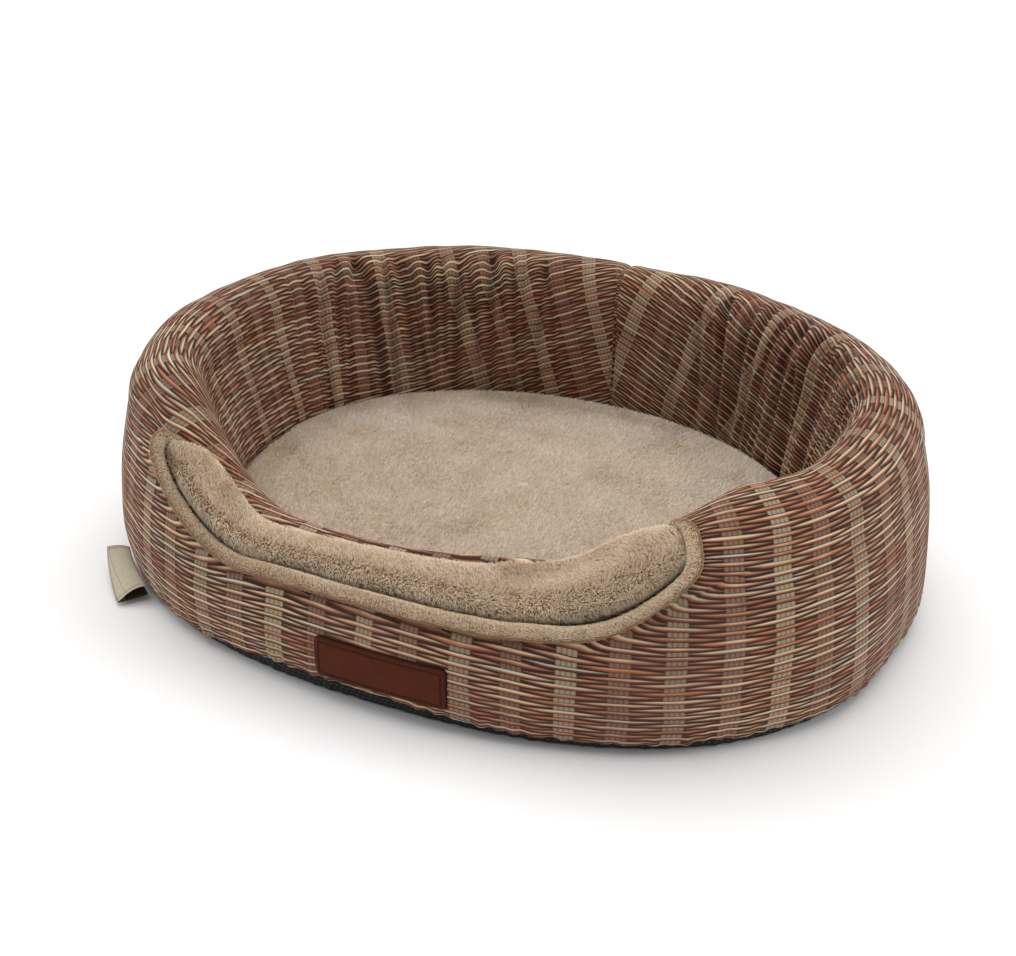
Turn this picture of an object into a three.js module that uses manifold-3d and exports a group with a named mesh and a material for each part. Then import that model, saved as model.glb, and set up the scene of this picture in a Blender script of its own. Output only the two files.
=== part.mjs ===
// A soft oval pet bed in the style of a wicker basket: a padded wall with a low plush entrance,
// a foam floor, a loose plush mat, and the patch and label sewn to the outside.
// Units are millimetres, +Z is up, the entrance faces -Y, and the origin is on the floor at the middle.

import * as THREE from 'three';
import * as BufferGeometryUtils from 'three/addons/utils/BufferGeometryUtils.js';
import Module from 'manifold-3d';

// Plan outline: two half superellipses that meet at the sides.
const halfLength = 275;
const halfDepth = 216.5;
const frontRoundness = 2.4;
const backRoundness = 2.1;

// Wall section. Insets are measured inwards from the plan outline, along its normal.
const wallHeight = 149;
const entranceHeight = 88;
const entranceFlatAngle = 22;
const entranceRiseAngle = 60;
const baseInset = 5.5;
const bellyHeight = 31;
const rimLean = 12;
const crestInset = 43;
const rimInset = 62.5;
const rimRise = 32;
const floorInset = 64;
const sideFloorBulge = 16;
const innerFootHeight = 50;

// Fabric and padding thicknesses.
const coverThickness = 1.5;
const foamClearance = 0.9;
const baseFabricThickness = 1.6;
const baseFabricHeight = 10;
const hemGap = 0.4;
const floorFoamThickness = 20;
const floorLiningThickness = 1.2;
const layerGap = 0.3;
const paddingGap = 0.9;

// Loose mat.
const matThickness = 24;
const matClearance = 1.2;
const matCoverThickness = 2.5;
const matUnderThickness = 1.2;
const matEdgeRound = 9;
const matCrown = 3;
const matCrownSteps = 3;

// Plush entrance panel, laid out on the wall surface.
const entranceHalfAngle = 47;
const entranceCornerPower = 3.3;
const flangeEdgeHeight = 67;
const rollTipStation = 1.65;
const rollInnerStation = 2.08;
const flangeWidth = 11;
const flangeProud = 5;
const flangeDepth = 6;
const flangeEndTurn = 97;
const rollEndTurn = 84;
const sewingGap = 1.2;
const rollBulge = 6;
const rollCoverThickness = 3;
const rollFillingDepth = 11;
const entranceFoamDrop = 14;

// Leather patch on the front and folded label on the left of the base seam.
const patchWidth = 88;
const patchHeight = 28;
const patchThickness = 1.8;
const patchOffset = 12;
const patchBottom = 17;
const patchCornerRadius = 4;
const stitchInset = 3.5;
const stitchThickness = 0.6;
const labelWidth = 46;
const labelAngle = -53.5;
const labelReach = 18;
const labelThickness = 0.9;
const labelRootGap = 0.6;
const labelRootRise = 3;
const labelFoldHeight = 7.5;
const labelBow = 6;

// Seam tape down the inside of the back, where the ends of the wall strip meet.
const seamTapeWidth = 6;
const seamTapeThickness = 0.5;
const seamTapeTopStation = 2.15;
const seamTapeFootHeight = 54;

// Facet counts.
const planSteps = 48;
const wallSteps = 3;
const rimSteps = 4;
const footSteps = 2;
const panelSteps = 22;
const rollSteps = 5;
const flangeSides = 8;
const patchSteps = 8;
const tapeSteps = 16;
const stitchSideSteps = 10;
const stitchEndSteps = 2;

const degrees = Math.PI / 180;
const wasm = await Module();
wasm.setup();

// Plan ----------------------------------------------------------------------

// Angles run from the front (-Y) towards the right (+X).
function planFrame(angle) {
  const across = Math.sin(angle);
  const back = -Math.cos(angle);
  const power = back < 0 ? frontRoundness : backRoundness;
  const sum = Math.abs(across / halfLength) ** power + Math.abs(back / halfDepth) ** power;
  const radius = sum ** (-1 / power);
  const point = new THREE.Vector2(radius * across, radius * back);
  const normal = new THREE.Vector2(
    Math.sign(point.x) * Math.abs(point.x / halfLength) ** (power - 1) / halfLength,
    Math.sign(point.y) * Math.abs(point.y / halfDepth) ** (power - 1) / halfDepth,
  );
  return { point, normal: normal.normalize() };
}

function insetPoint(angle, inset, height) {
  const { point, normal } = planFrame(angle);
  return new THREE.Vector3(point.x - normal.x * inset, point.y - normal.y * inset, height);
}

function frontAngleAtX(x) {
  const y = -halfDepth * (1 - Math.abs(x / halfLength) ** frontRoundness) ** (1 / frontRoundness);
  return Math.atan2(x, -y);
}

const planAngles = Array.from({ length: planSteps }, (_, i) => (i / planSteps) * 2 * Math.PI);

// Wall surface ---------------------------------------------------------------

function crestHeight(angle) {
  const turn = Math.abs(Math.atan2(Math.sin(angle), Math.cos(angle))) / degrees;
  const rise = THREE.MathUtils.smoothstep(turn, entranceFlatAngle, entranceRiseAngle);
  return THREE.MathUtils.lerp(entranceHeight, wallHeight, rise);
}

function lowerInset(angle) {
  return floorInset + sideFloorBulge * Math.sin(angle) ** 2;
}

// A point of the wall section as (inset, height). Station 0 is the outer foot, 1 the start of the
// rim, 2 the crest, 3 the end of the rim and 4 the inner foot.
function wallSection(angle, station) {
  const rimStart = crestHeight(angle) - rimRise;
  const fullRise = wallHeight - rimRise - bellyHeight;
  const lean = rimLean * Math.max(0, rimStart - bellyHeight) / fullRise;
  if (station < 1) {
    const height = station * rimStart;
    if (height < bellyHeight) {
      return [baseInset * ((bellyHeight - height) / bellyHeight) ** 2, height];
    }
    return [lean * ((height - bellyHeight) / (rimStart - bellyHeight)) ** 2, height];
  }
  if (station < 2) {
    const turn = (station - 1) * Math.PI / 2;
    return [crestInset - (crestInset - lean) * Math.cos(turn), rimStart + rimRise * Math.sin(turn)];
  }
  if (station < 3) {
    const turn = (station - 2) * Math.PI / 2;
    const reach = rimInset - crestInset;
    return [crestInset + reach * Math.sin(turn), rimStart + rimRise * Math.cos(turn)];
  }
  const height = rimStart * (4 - station);
  const slope = (rimStart - height) / (rimStart - Math.min(innerFootHeight, rimStart - 1));
  return [THREE.MathUtils.lerp(rimInset, lowerInset(angle), Math.min(1, slope)), height];
}

// The wall surface moved along its own normal; a positive offset goes into the wall.
function wallPoint(angle, station, offset = 0) {
  const step = 0.01;
  const [inset, height] = wallSection(angle, station);
  const [insetBefore, heightBefore] = wallSection(angle, station - step);
  const [insetAfter, heightAfter] = wallSection(angle, station + step);
  const slope = new THREE.Vector2(insetAfter - insetBefore, heightAfter - heightBefore).normalize();
  return insetPoint(angle, inset + slope.y * offset, height - slope.x * offset);
}

// The stations at which the straight outer and inner faces reach a height.
function outerStation(angle, height) {
  const rimStart = crestHeight(angle) - rimRise;
  if (height <= rimStart) {
    return height / rimStart;
  }
  return 1 + Math.asin((height - rimStart) / rimRise) / (Math.PI / 2);
}

function innerStation(angle, height) {
  return 4 - height / (crestHeight(angle) - rimRise);
}

// Stations from a lower outer height over the rim to a lower inner height.
function stationsOverRim(angle, outerHeight, innerHeight) {
  const first = outerStation(angle, outerHeight);
  const last = innerStation(angle, innerHeight);
  const foot = innerStation(angle, innerFootHeight);
  const stations = [];
  for (let i = 0; i < wallSteps; i++) {
    stations.push(THREE.MathUtils.lerp(first, 1, i / wallSteps));
  }
  for (let i = 0; i < 2 * rimSteps; i++) {
    stations.push(1 + i / rimSteps);
  }
  for (let i = 0; i < footSteps; i++) {
    stations.push(THREE.MathUtils.lerp(3, foot, i / footSteps));
  }
  stations.push(foot, last);
  return stations;
}

// Meshes ----------------------------------------------------------------------

function geometryFrom(points, triangles) {
  const geometry = new THREE.BufferGeometry();
  const numbers = points.flatMap((point) => [point.x, point.y, point.z]);
  geometry.setAttribute('position', new THREE.Float32BufferAttribute(numbers, 3));
  geometry.setIndex(triangles);
  geometry.computeVertexNormals();
  return geometry;
}

function signedVolume(points, triangles) {
  let volume = 0;
  for (let i = 0; i < triangles.length; i += 3) {
    const [a, b, c] = [0, 1, 2].map((k) => points[triangles[i + k]]);
    volume += a.dot(new THREE.Vector3().crossVectors(b, c)) / 6;
  }
  return volume;
}

function outwardGeometry(points, triangles) {
  if (signedVolume(points, triangles) < 0) {
    for (let i = 0; i < triangles.length; i += 3) {
      [triangles[i + 1], triangles[i + 2]] = [triangles[i + 2], triangles[i + 1]];
    }
  }
  return geometryFrom(points, triangles);
}

// Joins a row of closed loops, each with the same number of points. The row closes on itself,
// or is capped with a fan at each end.
function loftLoops(loops, closed) {
  const sides = loops[0].length;
  const points = loops.flat();
  const triangles = [];
  const spans = closed ? loops.length : loops.length - 1;
  for (let i = 0; i < spans; i++) {
    const here = i * sides;
    const next = ((i + 1) % loops.length) * sides;
    for (let k = 0; k < sides; k++) {
      const after = (k + 1) % sides;
      triangles.push(here + k, next + k, next + after, here + k, next + after, here + after);
    }
  }
  if (!closed) {
    const end = (loops.length - 1) * sides;
    for (const [a, b, c] of capTriangles(loops[0])) {
      triangles.push(a, b, c);
    }
    for (const [a, b, c] of capTriangles(loops.at(-1))) {
      triangles.push(end + a, end + c, end + b);
    }
  }
  return outwardGeometry(points, triangles);
}

// Triangles over one nearly flat closed loop, wound the same way as the loop.
function capTriangles(loop) {
  const normal = new THREE.Vector3();
  loop.forEach((point, i) => {
    normal.add(new THREE.Vector3().crossVectors(point, loop[(i + 1) % loop.length]));
  });
  normal.normalize();
  const across = new THREE.Vector3().subVectors(loop[1], loop[0]).normalize();
  const up = new THREE.Vector3().crossVectors(normal, across);
  const flat = loop.map((point) => new THREE.Vector2(point.dot(across), point.dot(up)));
  return THREE.ShapeUtils.triangulateShape(flat, []).map(([a, b, c]) => {
    const turn = THREE.ShapeUtils.area([flat[a], flat[b], flat[c]]);
    return turn > 0 ? [a, b, c] : [a, c, b];
  });
}

// A solid of revolution-like rings round the plan: each profile starts and ends on the axis.
function loftDisc(profiles) {
  const inner = profiles[0].slice(1, -1);
  const points = [profiles[0][0], profiles[0].at(-1)];
  profiles.forEach((profile) => points.push(...profile.slice(1, -1)));
  const triangles = [];
  const rows = inner.length;
  for (let i = 0; i < profiles.length; i++) {
    const here = 2 + i * rows;
    const next = 2 + ((i + 1) % profiles.length) * rows;
    triangles.push(0, next, here);
    for (let k = 0; k < rows - 1; k++) {
      triangles.push(here + k, next + k, next + k + 1, here + k, next + k + 1, here + k + 1);
    }
    triangles.push(1, here + rows - 1, next + rows - 1);
  }
  return outwardGeometry(points, triangles);
}

// A band of the wall surface with a thickness, round the whole plan or between two angles.
function wallBand(angles, stationsAt, outerOffset, innerOffset, closed) {
  const loops = angles.map((angle) => {
    const stations = stationsAt(angle);
    const outer = stations.map((station) => wallPoint(angle, station, outerOffset(angle, station)));
    const inner = stations.map((station) => wallPoint(angle, station, innerOffset(angle, station)));
    return [...outer, ...inner.reverse()];
  });
  return loftLoops(loops, closed);
}

function toManifold(geometry) {
  const bare = geometry.clone();
  bare.deleteAttribute('normal');
  const merged = BufferGeometryUtils.mergeVertices(bare);
  return new wasm.Manifold(new wasm.Mesh({
    numProp: 3,
    vertProperties: merged.getAttribute('position').array,
    triVerts: new Uint32Array(merged.getIndex().array),
  }));
}

function fromManifold(solid) {
  const mesh = solid.getMesh();
  const geometry = new THREE.BufferGeometry();
  geometry.setAttribute('position', new THREE.BufferAttribute(mesh.vertProperties, 3));
  geometry.setIndex(new THREE.BufferAttribute(mesh.triVerts, 1));
  geometry.computeVertexNormals();
  return geometry;
}

// Entrance panel layout --------------------------------------------------------

// The panel's edge is a closed curve on the wall. A turn of 0 is the middle of the flange edge,
// a quarter turn the right tip and half a turn the middle of the inner edge. The inset goes inwards
// from the flange edge and the tips, and the inner inset from the inner edge.
function panelEdge(turn, inset, innerInset = inset) {
  const across = Math.sin(turn);
  const along = Math.cos(turn);
  const spread = Math.sign(across) * Math.abs(across) ** (2 / entranceCornerPower);
  const depth = Math.abs(along) ** (2 / entranceCornerPower);
  const tip = planFrame(entranceHalfAngle * degrees).point.length();
  const angle = spread * (entranceHalfAngle * degrees - inset / tip);
  const outer = outerStation(angle, flangeEdgeHeight + inset);
  const inner = rollInnerStation - innerInset / rimSectionLength(angle);
  return { angle, station: THREE.MathUtils.lerp(rollTipStation, along > 0 ? outer : inner, depth) };
}

// Length of a quarter of the rim's section, which one station spans there.
function rimSectionLength(angle) {
  const lean = wallSection(angle, 1)[0];
  return (Math.PI / 2) * (crestInset - lean + rimRise) / 2;
}

// Even turns, kept off the tips, where the two edges meet.
const panelTurns = Array.from({ length: panelSteps + 1 }, (_, i) => (
  rollEndTurn * degrees * (2 * i / panelSteps - 1)
));

// A solid over the panel, between an outer and an inner offset that vary over it.
function panelSolid(inset, innerInset, outerOffset, innerOffset) {
  const loops = panelTurns.map((turn) => {
    const front = panelEdge(turn, inset, innerInset);
    const back = panelEdge(Math.PI - turn, inset, innerInset);
    const shares = Array.from({ length: rollSteps + 1 }, (_, i) => i / rollSteps);
    const place = (share, offset) => {
      const station = THREE.MathUtils.lerp(front.station, back.station, share);
      return wallPoint(front.angle, station, offset(turn, share));
    };
    return [
      ...shares.map((share) => place(share, outerOffset)),
      ...shares.toReversed().map((share) => place(share, innerOffset)),
    ];
  });
  return loftLoops(loops, false);
}

function rollSwell(turn, share) {
  return rollBulge * Math.sin(Math.PI * share) * Math.cos(turn) ** 0.5;
}

// Sub-parts -------------------------------------------------------------------

const baseTop = baseFabricThickness + layerGap;
const hemHeight = baseFabricHeight + hemGap;

function wallCover() {
  const stationsAt = (angle) => stationsOverRim(angle, hemHeight, baseTop);
  const whole = wallBand(planAngles, stationsAt, () => 0, () => coverThickness, true);
  const opening = panelSolid(-sewingGap, -sewingGap, () => -2 * rollBulge, () => 3 * coverThickness);
  return fromManifold(toManifold(whole).subtract(toManifold(opening)));
}

function foamOffset(angle) {
  const turn = Math.abs(Math.atan2(Math.sin(angle), Math.cos(angle))) / degrees;
  const drop = 1 - THREE.MathUtils.smoothstep(turn, entranceHalfAngle, entranceRiseAngle + 5);
  return coverThickness + foamClearance + drop * entranceFoamDrop;
}

function wallFoam() {
  const bottom = baseTop + layerGap;
  const loops = planAngles.map((angle) => {
    const stations = [
      outerStation(angle, bottom),
      ...stationsOverRim(angle, hemHeight, bottom),
    ];
    const onRim = (station) => THREE.MathUtils.smoothstep(station, 0.9, 1.1)
      * (1 - THREE.MathUtils.smoothstep(station, 2.9, 3.1));
    const skin = coverThickness + foamClearance;
    return stations.map((station, i) => {
      const offset = skin + (foamOffset(angle) - skin) * onRim(station);
      const point = wallPoint(angle, station, offset);
      if (i === 0 || i === stations.length - 1) {
        point.z = bottom;
      }
      return point;
    });
  });
  return loftLoops(loops, true);
}

// A disc-like layer that follows the inner foot of the wall, from (inset, height) rim points.
function floorLayer(rimPoints, bottomHeight, topHeight) {
  const profiles = planAngles.map((angle) => [
    new THREE.Vector3(0, 0, bottomHeight),
    ...rimPoints.map(([inset, height]) => insetPoint(angle, lowerInset(angle) + inset, height)),
    new THREE.Vector3(0, 0, topHeight),
  ]);
  return loftDisc(profiles);
}

function baseFabric() {
  const profiles = planAngles.map((angle) => {
    const heights = [0, baseFabricHeight / 2, baseFabricHeight];
    const skin = (height, offset) => wallPoint(angle, outerStation(angle, height), offset);
    const inside = heights.slice(1).toReversed().map((height) => skin(height, baseFabricThickness));
    const foot = skin(0, baseFabricThickness);
    foot.z = baseFabricThickness;
    return [
      new THREE.Vector3(0, 0, 0),
      ...heights.map((height) => skin(height, 0).setZ(height)),
      ...inside,
      foot,
      new THREE.Vector3(0, 0, baseFabricThickness),
    ];
  });
  return loftDisc(profiles);
}

const floorFoamTop = baseTop + floorFoamThickness;
const floorLiningTop = floorFoamTop + layerGap + floorLiningThickness;
const matBottom = floorLiningTop + layerGap;

function floorFoam() {
  return floorLayer([[layerGap, baseTop], [layerGap, floorFoamTop]], baseTop, floorFoamTop);
}

function floorLining() {
  const bottom = floorFoamTop + layerGap;
  return floorLayer([[layerGap, bottom], [layerGap, floorLiningTop]], bottom, floorLiningTop);
}

function matUnderside() {
  const top = matBottom + matUnderThickness;
  return floorLayer([[matClearance, matBottom], [matClearance, top]], matBottom, top);
}

// Rim and crown of the mat's upper skin, shrunk by a distance on every side.
function matRim(shrink, bottom) {
  const top = matBottom + matThickness - shrink;
  const edge = matClearance + shrink;
  const round = matEdgeRound - Math.min(shrink, matEdgeRound / 2);
  const points = [[edge, bottom]];
  for (const turn of [0, 30, 60, 90]) {
    const angle = turn * degrees;
    points.push([edge + round * (1 - Math.cos(angle)), top - round * (1 - Math.sin(angle))]);
  }
  return points;
}

// The crown rises from the rounded edge to the middle of the mat.
function matProfile(angle, shrink, bottom) {
  const rim = matRim(shrink, bottom).map(([inset, height]) => (
    insetPoint(angle, lowerInset(angle) + inset, height)
  ));
  const edge = rim.at(-1);
  const crown = [];
  for (let i = matCrownSteps; i > 0; i--) {
    const share = i / (matCrownSteps + 1);
    const rise = matCrown * (1 - share ** 2);
    crown.push(new THREE.Vector3(edge.x * share, edge.y * share, edge.z + rise));
  }
  return [...rim, ...crown, new THREE.Vector3(0, 0, edge.z + matCrown)];
}

const matCoverBottom = matBottom + matUnderThickness + layerGap;

function matTopCover() {
  const profiles = planAngles.map((angle) => {
    const outside = matProfile(angle, 0, matCoverBottom);
    const inside = matProfile(angle, matCoverThickness, matCoverBottom);
    return [...inside.toReversed(), ...outside];
  });
  return loftDisc(profiles);
}

function matFilling() {
  const profiles = planAngles.map((angle) => [
    new THREE.Vector3(0, 0, matCoverBottom),
    ...matProfile(angle, matCoverThickness + layerGap, matCoverBottom),
  ]);
  return loftDisc(profiles);
}

function rollCover() {
  const outer = (turn, share) => -rollSwell(turn, share);
  const inner = (turn, share) => rollCoverThickness - rollSwell(turn, share);
  return panelSolid(flangeWidth + sewingGap, sewingGap, outer, inner);
}

function rollFilling() {
  const outer = (turn, share) => rollCoverThickness + paddingGap - rollSwell(turn, share);
  return panelSolid(flangeWidth + 2 * sewingGap, 2 * sewingGap, outer, () => rollFillingDepth);
}

// The plush border: an oval roll along the panel's outer edge that turns in over both tips.
function flange() {
  const reach = flangeEndTurn * degrees;
  const stops = 2 * panelSteps;
  const loops = Array.from({ length: stops + 1 }, (_, i) => {
    const turn = reach * (2 * i / stops - 1);
    return Array.from({ length: flangeSides }, (__, side) => {
      const around = (side / flangeSides) * 2 * Math.PI;
      const inset = flangeWidth / 2 * (1 - Math.cos(around));
      const half = (flangeProud + flangeDepth) / 2;
      const lift = half * Math.sin(around) + flangeProud - half;
      const { angle, station } = panelEdge(turn, inset);
      return wallPoint(angle, station, -lift);
    });
  });
  return loftLoops(loops, false);
}

function roundedPatchHeight(share) {
  const fromEnd = patchWidth * Math.min(share, 1 - share);
  if (fromEnd >= patchCornerRadius) {
    return patchHeight / 2;
  }
  const cut = patchCornerRadius - fromEnd;
  return patchHeight / 2 - patchCornerRadius + Math.sqrt(patchCornerRadius ** 2 - cut ** 2);
}

function leatherPatch() {
  const middle = patchBottom + patchHeight / 2;
  const corner = patchCornerRadius / patchWidth;
  const shares = [0, corner / 3, corner];
  for (let i = 1; i < patchSteps; i++) {
    shares.push(THREE.MathUtils.lerp(corner, 1 - corner, i / patchSteps));
  }
  shares.push(1 - corner, 1 - corner / 3, 1);
  const loops = shares.map((share) => {
    const angle = frontAngleAtX(patchOffset + patchWidth * (share - 0.5));
    const half = roundedPatchHeight(share);
    const heights = [-1, -0.5, 0, 0.5, 1].map((row) => middle + row * half);
    const lay = (height, offset) => wallPoint(angle, outerStation(angle, height), -offset);
    return [
      ...heights.map((height) => lay(height, layerGap + patchThickness)),
      ...heights.toReversed().map((height) => lay(height, layerGap)),
    ];
  });
  return loftLoops(loops, false);
}

// A closed thread round the patch, inset from its edge.
function patchStitching() {
  const halfWidth = patchWidth / 2 - stitchInset;
  const halfHeight = patchHeight / 2 - stitchInset;
  const corners = [[-1, -1], [1, -1], [1, 1], [-1, 1]];
  const route = corners.flatMap(([x, y], i) => {
    const [nextX, nextY] = corners[(i + 1) % corners.length];
    const steps = x === nextX ? stitchEndSteps : stitchSideSteps;
    return Array.from({ length: steps }, (_, k) => [
      THREE.MathUtils.lerp(x, nextX, k / steps),
      THREE.MathUtils.lerp(y, nextY, k / steps),
    ]);
  });
  const middle = patchBottom + patchHeight / 2;
  const half = stitchThickness / 2;
  const face = layerGap + patchThickness + layerGap;
  const loops = route.map(([x, y]) => {
    const lay = (grow, offset) => {
      const angle = frontAngleAtX(patchOffset + x * (halfWidth + grow));
      const height = middle + y * (halfHeight + grow);
      return wallPoint(angle, outerStation(angle, height), -offset);
    };
    return [
      lay(-half, face),
      lay(half, face),
      lay(half, face + stitchThickness),
      lay(-half, face + stitchThickness),
    ];
  });
  return loftLoops(loops, true);
}

// The label is one strip folded in two, its ends caught in the hem seam. The outline is in the
// label's own plane: distance out from the seam, and height above the seam.
function foldedLabel() {
  const fold = labelFoldHeight - hemHeight;
  const outline = [
    [0, -labelRootRise / 2],
    [labelReach * 0.5, fold - labelBow / 3],
    [labelReach * 0.9, fold - labelBow / 2],
    [labelReach, fold],
    [labelReach * 0.9, fold + labelBow / 2],
    [labelReach * 0.45, labelBow],
    [0, labelRootRise / 2],
  ];
  const middle = new THREE.Vector2(labelReach / 2, 0);
  const outside = outline.map(([out, up]) => new THREE.Vector2(out, up));
  const inside = outside.map((point) => {
    const towards = new THREE.Vector2().subVectors(middle, point);
    return towards.setLength(1.5 * labelThickness).add(point);
  });
  const shape = new THREE.Shape(outside);
  shape.holes.push(new THREE.Path(inside));
  const geometry = new THREE.ExtrudeGeometry(shape, { depth: labelWidth, bevelEnabled: false });
  geometry.translate(0, 0, -labelWidth / 2);
  return geometry;
}

function seamTape() {
  const half = seamTapeWidth / 2;
  const top = seamTapeTopStation;
  const foot = innerStation(Math.PI, seamTapeFootHeight);
  const spread = half / halfDepth;
  const loops = Array.from({ length: tapeSteps + 1 }, (_, i) => {
    const station = THREE.MathUtils.lerp(top, foot, i / tapeSteps);
    const lay = (side, offset) => wallPoint(Math.PI + side * spread, station, -offset);
    const outside = layerGap + seamTapeThickness;
    return [lay(-1, layerGap), lay(-1, outside), lay(1, outside), lay(1, layerGap)];
  });
  return loftLoops(loops, false);
}

// Assembly ---------------------------------------------------------------------

function material(color, roughness) {
  return new THREE.MeshStandardMaterial({ color, roughness, metalness: 0 });
}

const wickerPrint = material(0x8a5a44, 0.85);
const blackFabric = material(0x1b1b1c, 0.9);
const foam = material(0xe9e2cf, 1);
const lining = material(0xb9ab97, 0.95);
const plush = material(0xc2a880, 1);
const matPlush = material(0xbfab93, 1);
const fibre = material(0xf2f0ea, 1);
const leather = material(0x69361c, 0.55);
const wovenLabel = material(0xd8cdb8, 0.85);
const thread = material(0x3a2015, 0.8);

function part(name, geometry, finish) {
  const mesh = new THREE.Mesh(geometry, finish);
  mesh.name = name;
  return mesh;
}

const bed = new THREE.Group();
bed.add(
  part('base_fabric', baseFabric(), blackFabric),
  part('wall_foam', wallFoam(), foam),
  part('wall_cover', wallCover(), wickerPrint),
  part('back_seam_tape', seamTape(), wickerPrint),
  part('floor_foam', floorFoam(), foam),
  part('floor_lining', floorLining(), lining),
  part('roll_filling', rollFilling(), fibre),
  part('roll_cover', rollCover(), plush),
  part('roll_flange', flange(), plush),
  part('leather_patch', leatherPatch(), leather),
  part('patch_stitching', patchStitching(), thread),
);

const mat = new THREE.Group();
mat.add(
  part('mat_underside', matUnderside(), lining),
  part('mat_filling', matFilling(), fibre),
  part('mat_top_cover', matTopCover(), matPlush),
);
bed.add(mat);

// The label's own frame: +X points away from the wall, +Y is up and +Z runs along the seam.
const label = part('folded_label', foldedLabel(), wovenLabel);
const labelFrame = planFrame(labelAngle * degrees);
const labelStation = outerStation(labelAngle * degrees, hemHeight);
const labelRoot = wallPoint(labelAngle * degrees, labelStation).setZ(hemHeight);
labelRoot.addScaledVector(new THREE.Vector3(labelFrame.normal.x, labelFrame.normal.y, 0), labelRootGap);
const outward = new THREE.Vector3(labelFrame.normal.x, labelFrame.normal.y, 0);
const upward = new THREE.Vector3(0, 0, 1);
const alongSeam = new THREE.Vector3().crossVectors(outward, upward);
label.setRotationFromMatrix(new THREE.Matrix4().makeBasis(outward, upward, alongSeam));
label.position.copy(labelRoot);
bed.add(label);

export default bed;
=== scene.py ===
"""Soft oval pet bed with a printed basket weave, a plush entrance roll and a loose plush mat."""

import math

import bpy
import numpy as np
from mathutils import Matrix, Vector


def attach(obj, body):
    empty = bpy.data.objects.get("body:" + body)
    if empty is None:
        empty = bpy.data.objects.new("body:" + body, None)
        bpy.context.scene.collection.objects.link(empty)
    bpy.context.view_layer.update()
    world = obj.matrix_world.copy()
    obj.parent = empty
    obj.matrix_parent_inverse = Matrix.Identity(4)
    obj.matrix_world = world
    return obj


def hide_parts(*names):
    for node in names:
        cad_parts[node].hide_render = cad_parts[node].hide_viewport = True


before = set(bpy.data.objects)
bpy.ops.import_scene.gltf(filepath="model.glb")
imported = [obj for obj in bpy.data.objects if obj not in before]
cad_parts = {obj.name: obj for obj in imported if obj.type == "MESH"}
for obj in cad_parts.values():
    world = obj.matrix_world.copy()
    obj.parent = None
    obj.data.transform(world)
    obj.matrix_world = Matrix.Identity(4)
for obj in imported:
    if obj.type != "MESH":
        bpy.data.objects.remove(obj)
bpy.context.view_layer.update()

# Sizes are in millimetres, as in the CAD model; a mesh is scaled to metres when it is made.
MM = 0.001
PI = math.pi

HALF_LENGTH, HALF_DEPTH = 275.0, 216.5
FRONT_POWER, BACK_POWER = 2.4, 2.1
WALL_HEIGHT, ENTRANCE_HEIGHT = 149.0, 88.0
ENTRANCE_FLAT, ENTRANCE_RISE = 22.0, 60.0
BASE_INSET, BELLY_HEIGHT, RIM_LEAN = 5.5, 31.0, 12.0
CREST_INSET, RIM_INSET, RIM_RISE = 43.0, 62.5, 32.0
FLOOR_INSET, SIDE_BULGE, INNER_FOOT = 64.0, 16.0, 50.0
PANEL_MIDDLE, PANEL_ANGLE, PANEL_POWER = math.radians(1.25), math.radians(47.4), 3.3
TIP_STATION = 1.48
FLANGE_WIDTH = 11.0
LABEL_ANGLE = math.radians(-53.5)
HEM_HEIGHT = 10.4
ROW_PITCH, STAKE_PITCH = 2.75, 31.5
MAT_BOTTOM, MAT_TOP = 23.7, 47.7
INNER_RADIUS = 185.0
FOAM_DEPTH, CORE_DEPTH = 13.0, 15.6
LABEL_WIDTH, LABEL_THICKNESS = 46.0, 0.45
PATCH_WIDTH, PATCH_HEIGHT, PATCH_THICKNESS = 88.0, 28.0, 1.8
PATCH_OFFSET, PATCH_BOTTOM = 12.0, 17.0
PATCH_CORNER, PATCH_BORDER = 3.6, 3.3
CANVAS_PITCH, RIB_PITCH = 0.9, 0.5
DOT_PITCH, DOT_ROW = 4.0, 3.4

rng = np.random.default_rng(11)


# --- Wall surface ---


def plan(phi):
    """Outline point and outward normal. phi runs from the front (-Y) towards the right (+X)."""
    across, back = np.sin(phi), -np.cos(phi)
    power = np.where(back < 0, FRONT_POWER, BACK_POWER)
    total = np.abs(across / HALF_LENGTH) ** power + np.abs(back / HALF_DEPTH) ** power
    radius = total ** (-1 / power)
    point = np.stack([radius * across, radius * back], -1)
    half = np.array([HALF_LENGTH, HALF_DEPTH])
    normal = np.sign(point) * np.abs(point / half) ** (power[..., None] - 1) / half
    return point, normal / np.linalg.norm(normal, axis=-1, keepdims=True)


def smooth(x, low, high):
    """Smooth step from 0 at low to 1 at high."""
    t = np.clip((x - low) / (high - low), 0, 1)
    return t * t * (3 - 2 * t)


def turn_of(phi):
    """Degrees away from the front middle."""
    return np.degrees(np.abs(np.arctan2(np.sin(phi), np.cos(phi))))


def crest(phi):
    """Height of the wall's top, which is low at the entrance."""
    rise = smooth(turn_of(phi), ENTRANCE_FLAT, ENTRANCE_RISE)
    return ENTRANCE_HEIGHT + (WALL_HEIGHT - ENTRANCE_HEIGHT) * rise


def foot_inset(phi):
    return FLOOR_INSET + SIDE_BULGE * np.sin(phi) ** 2


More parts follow.
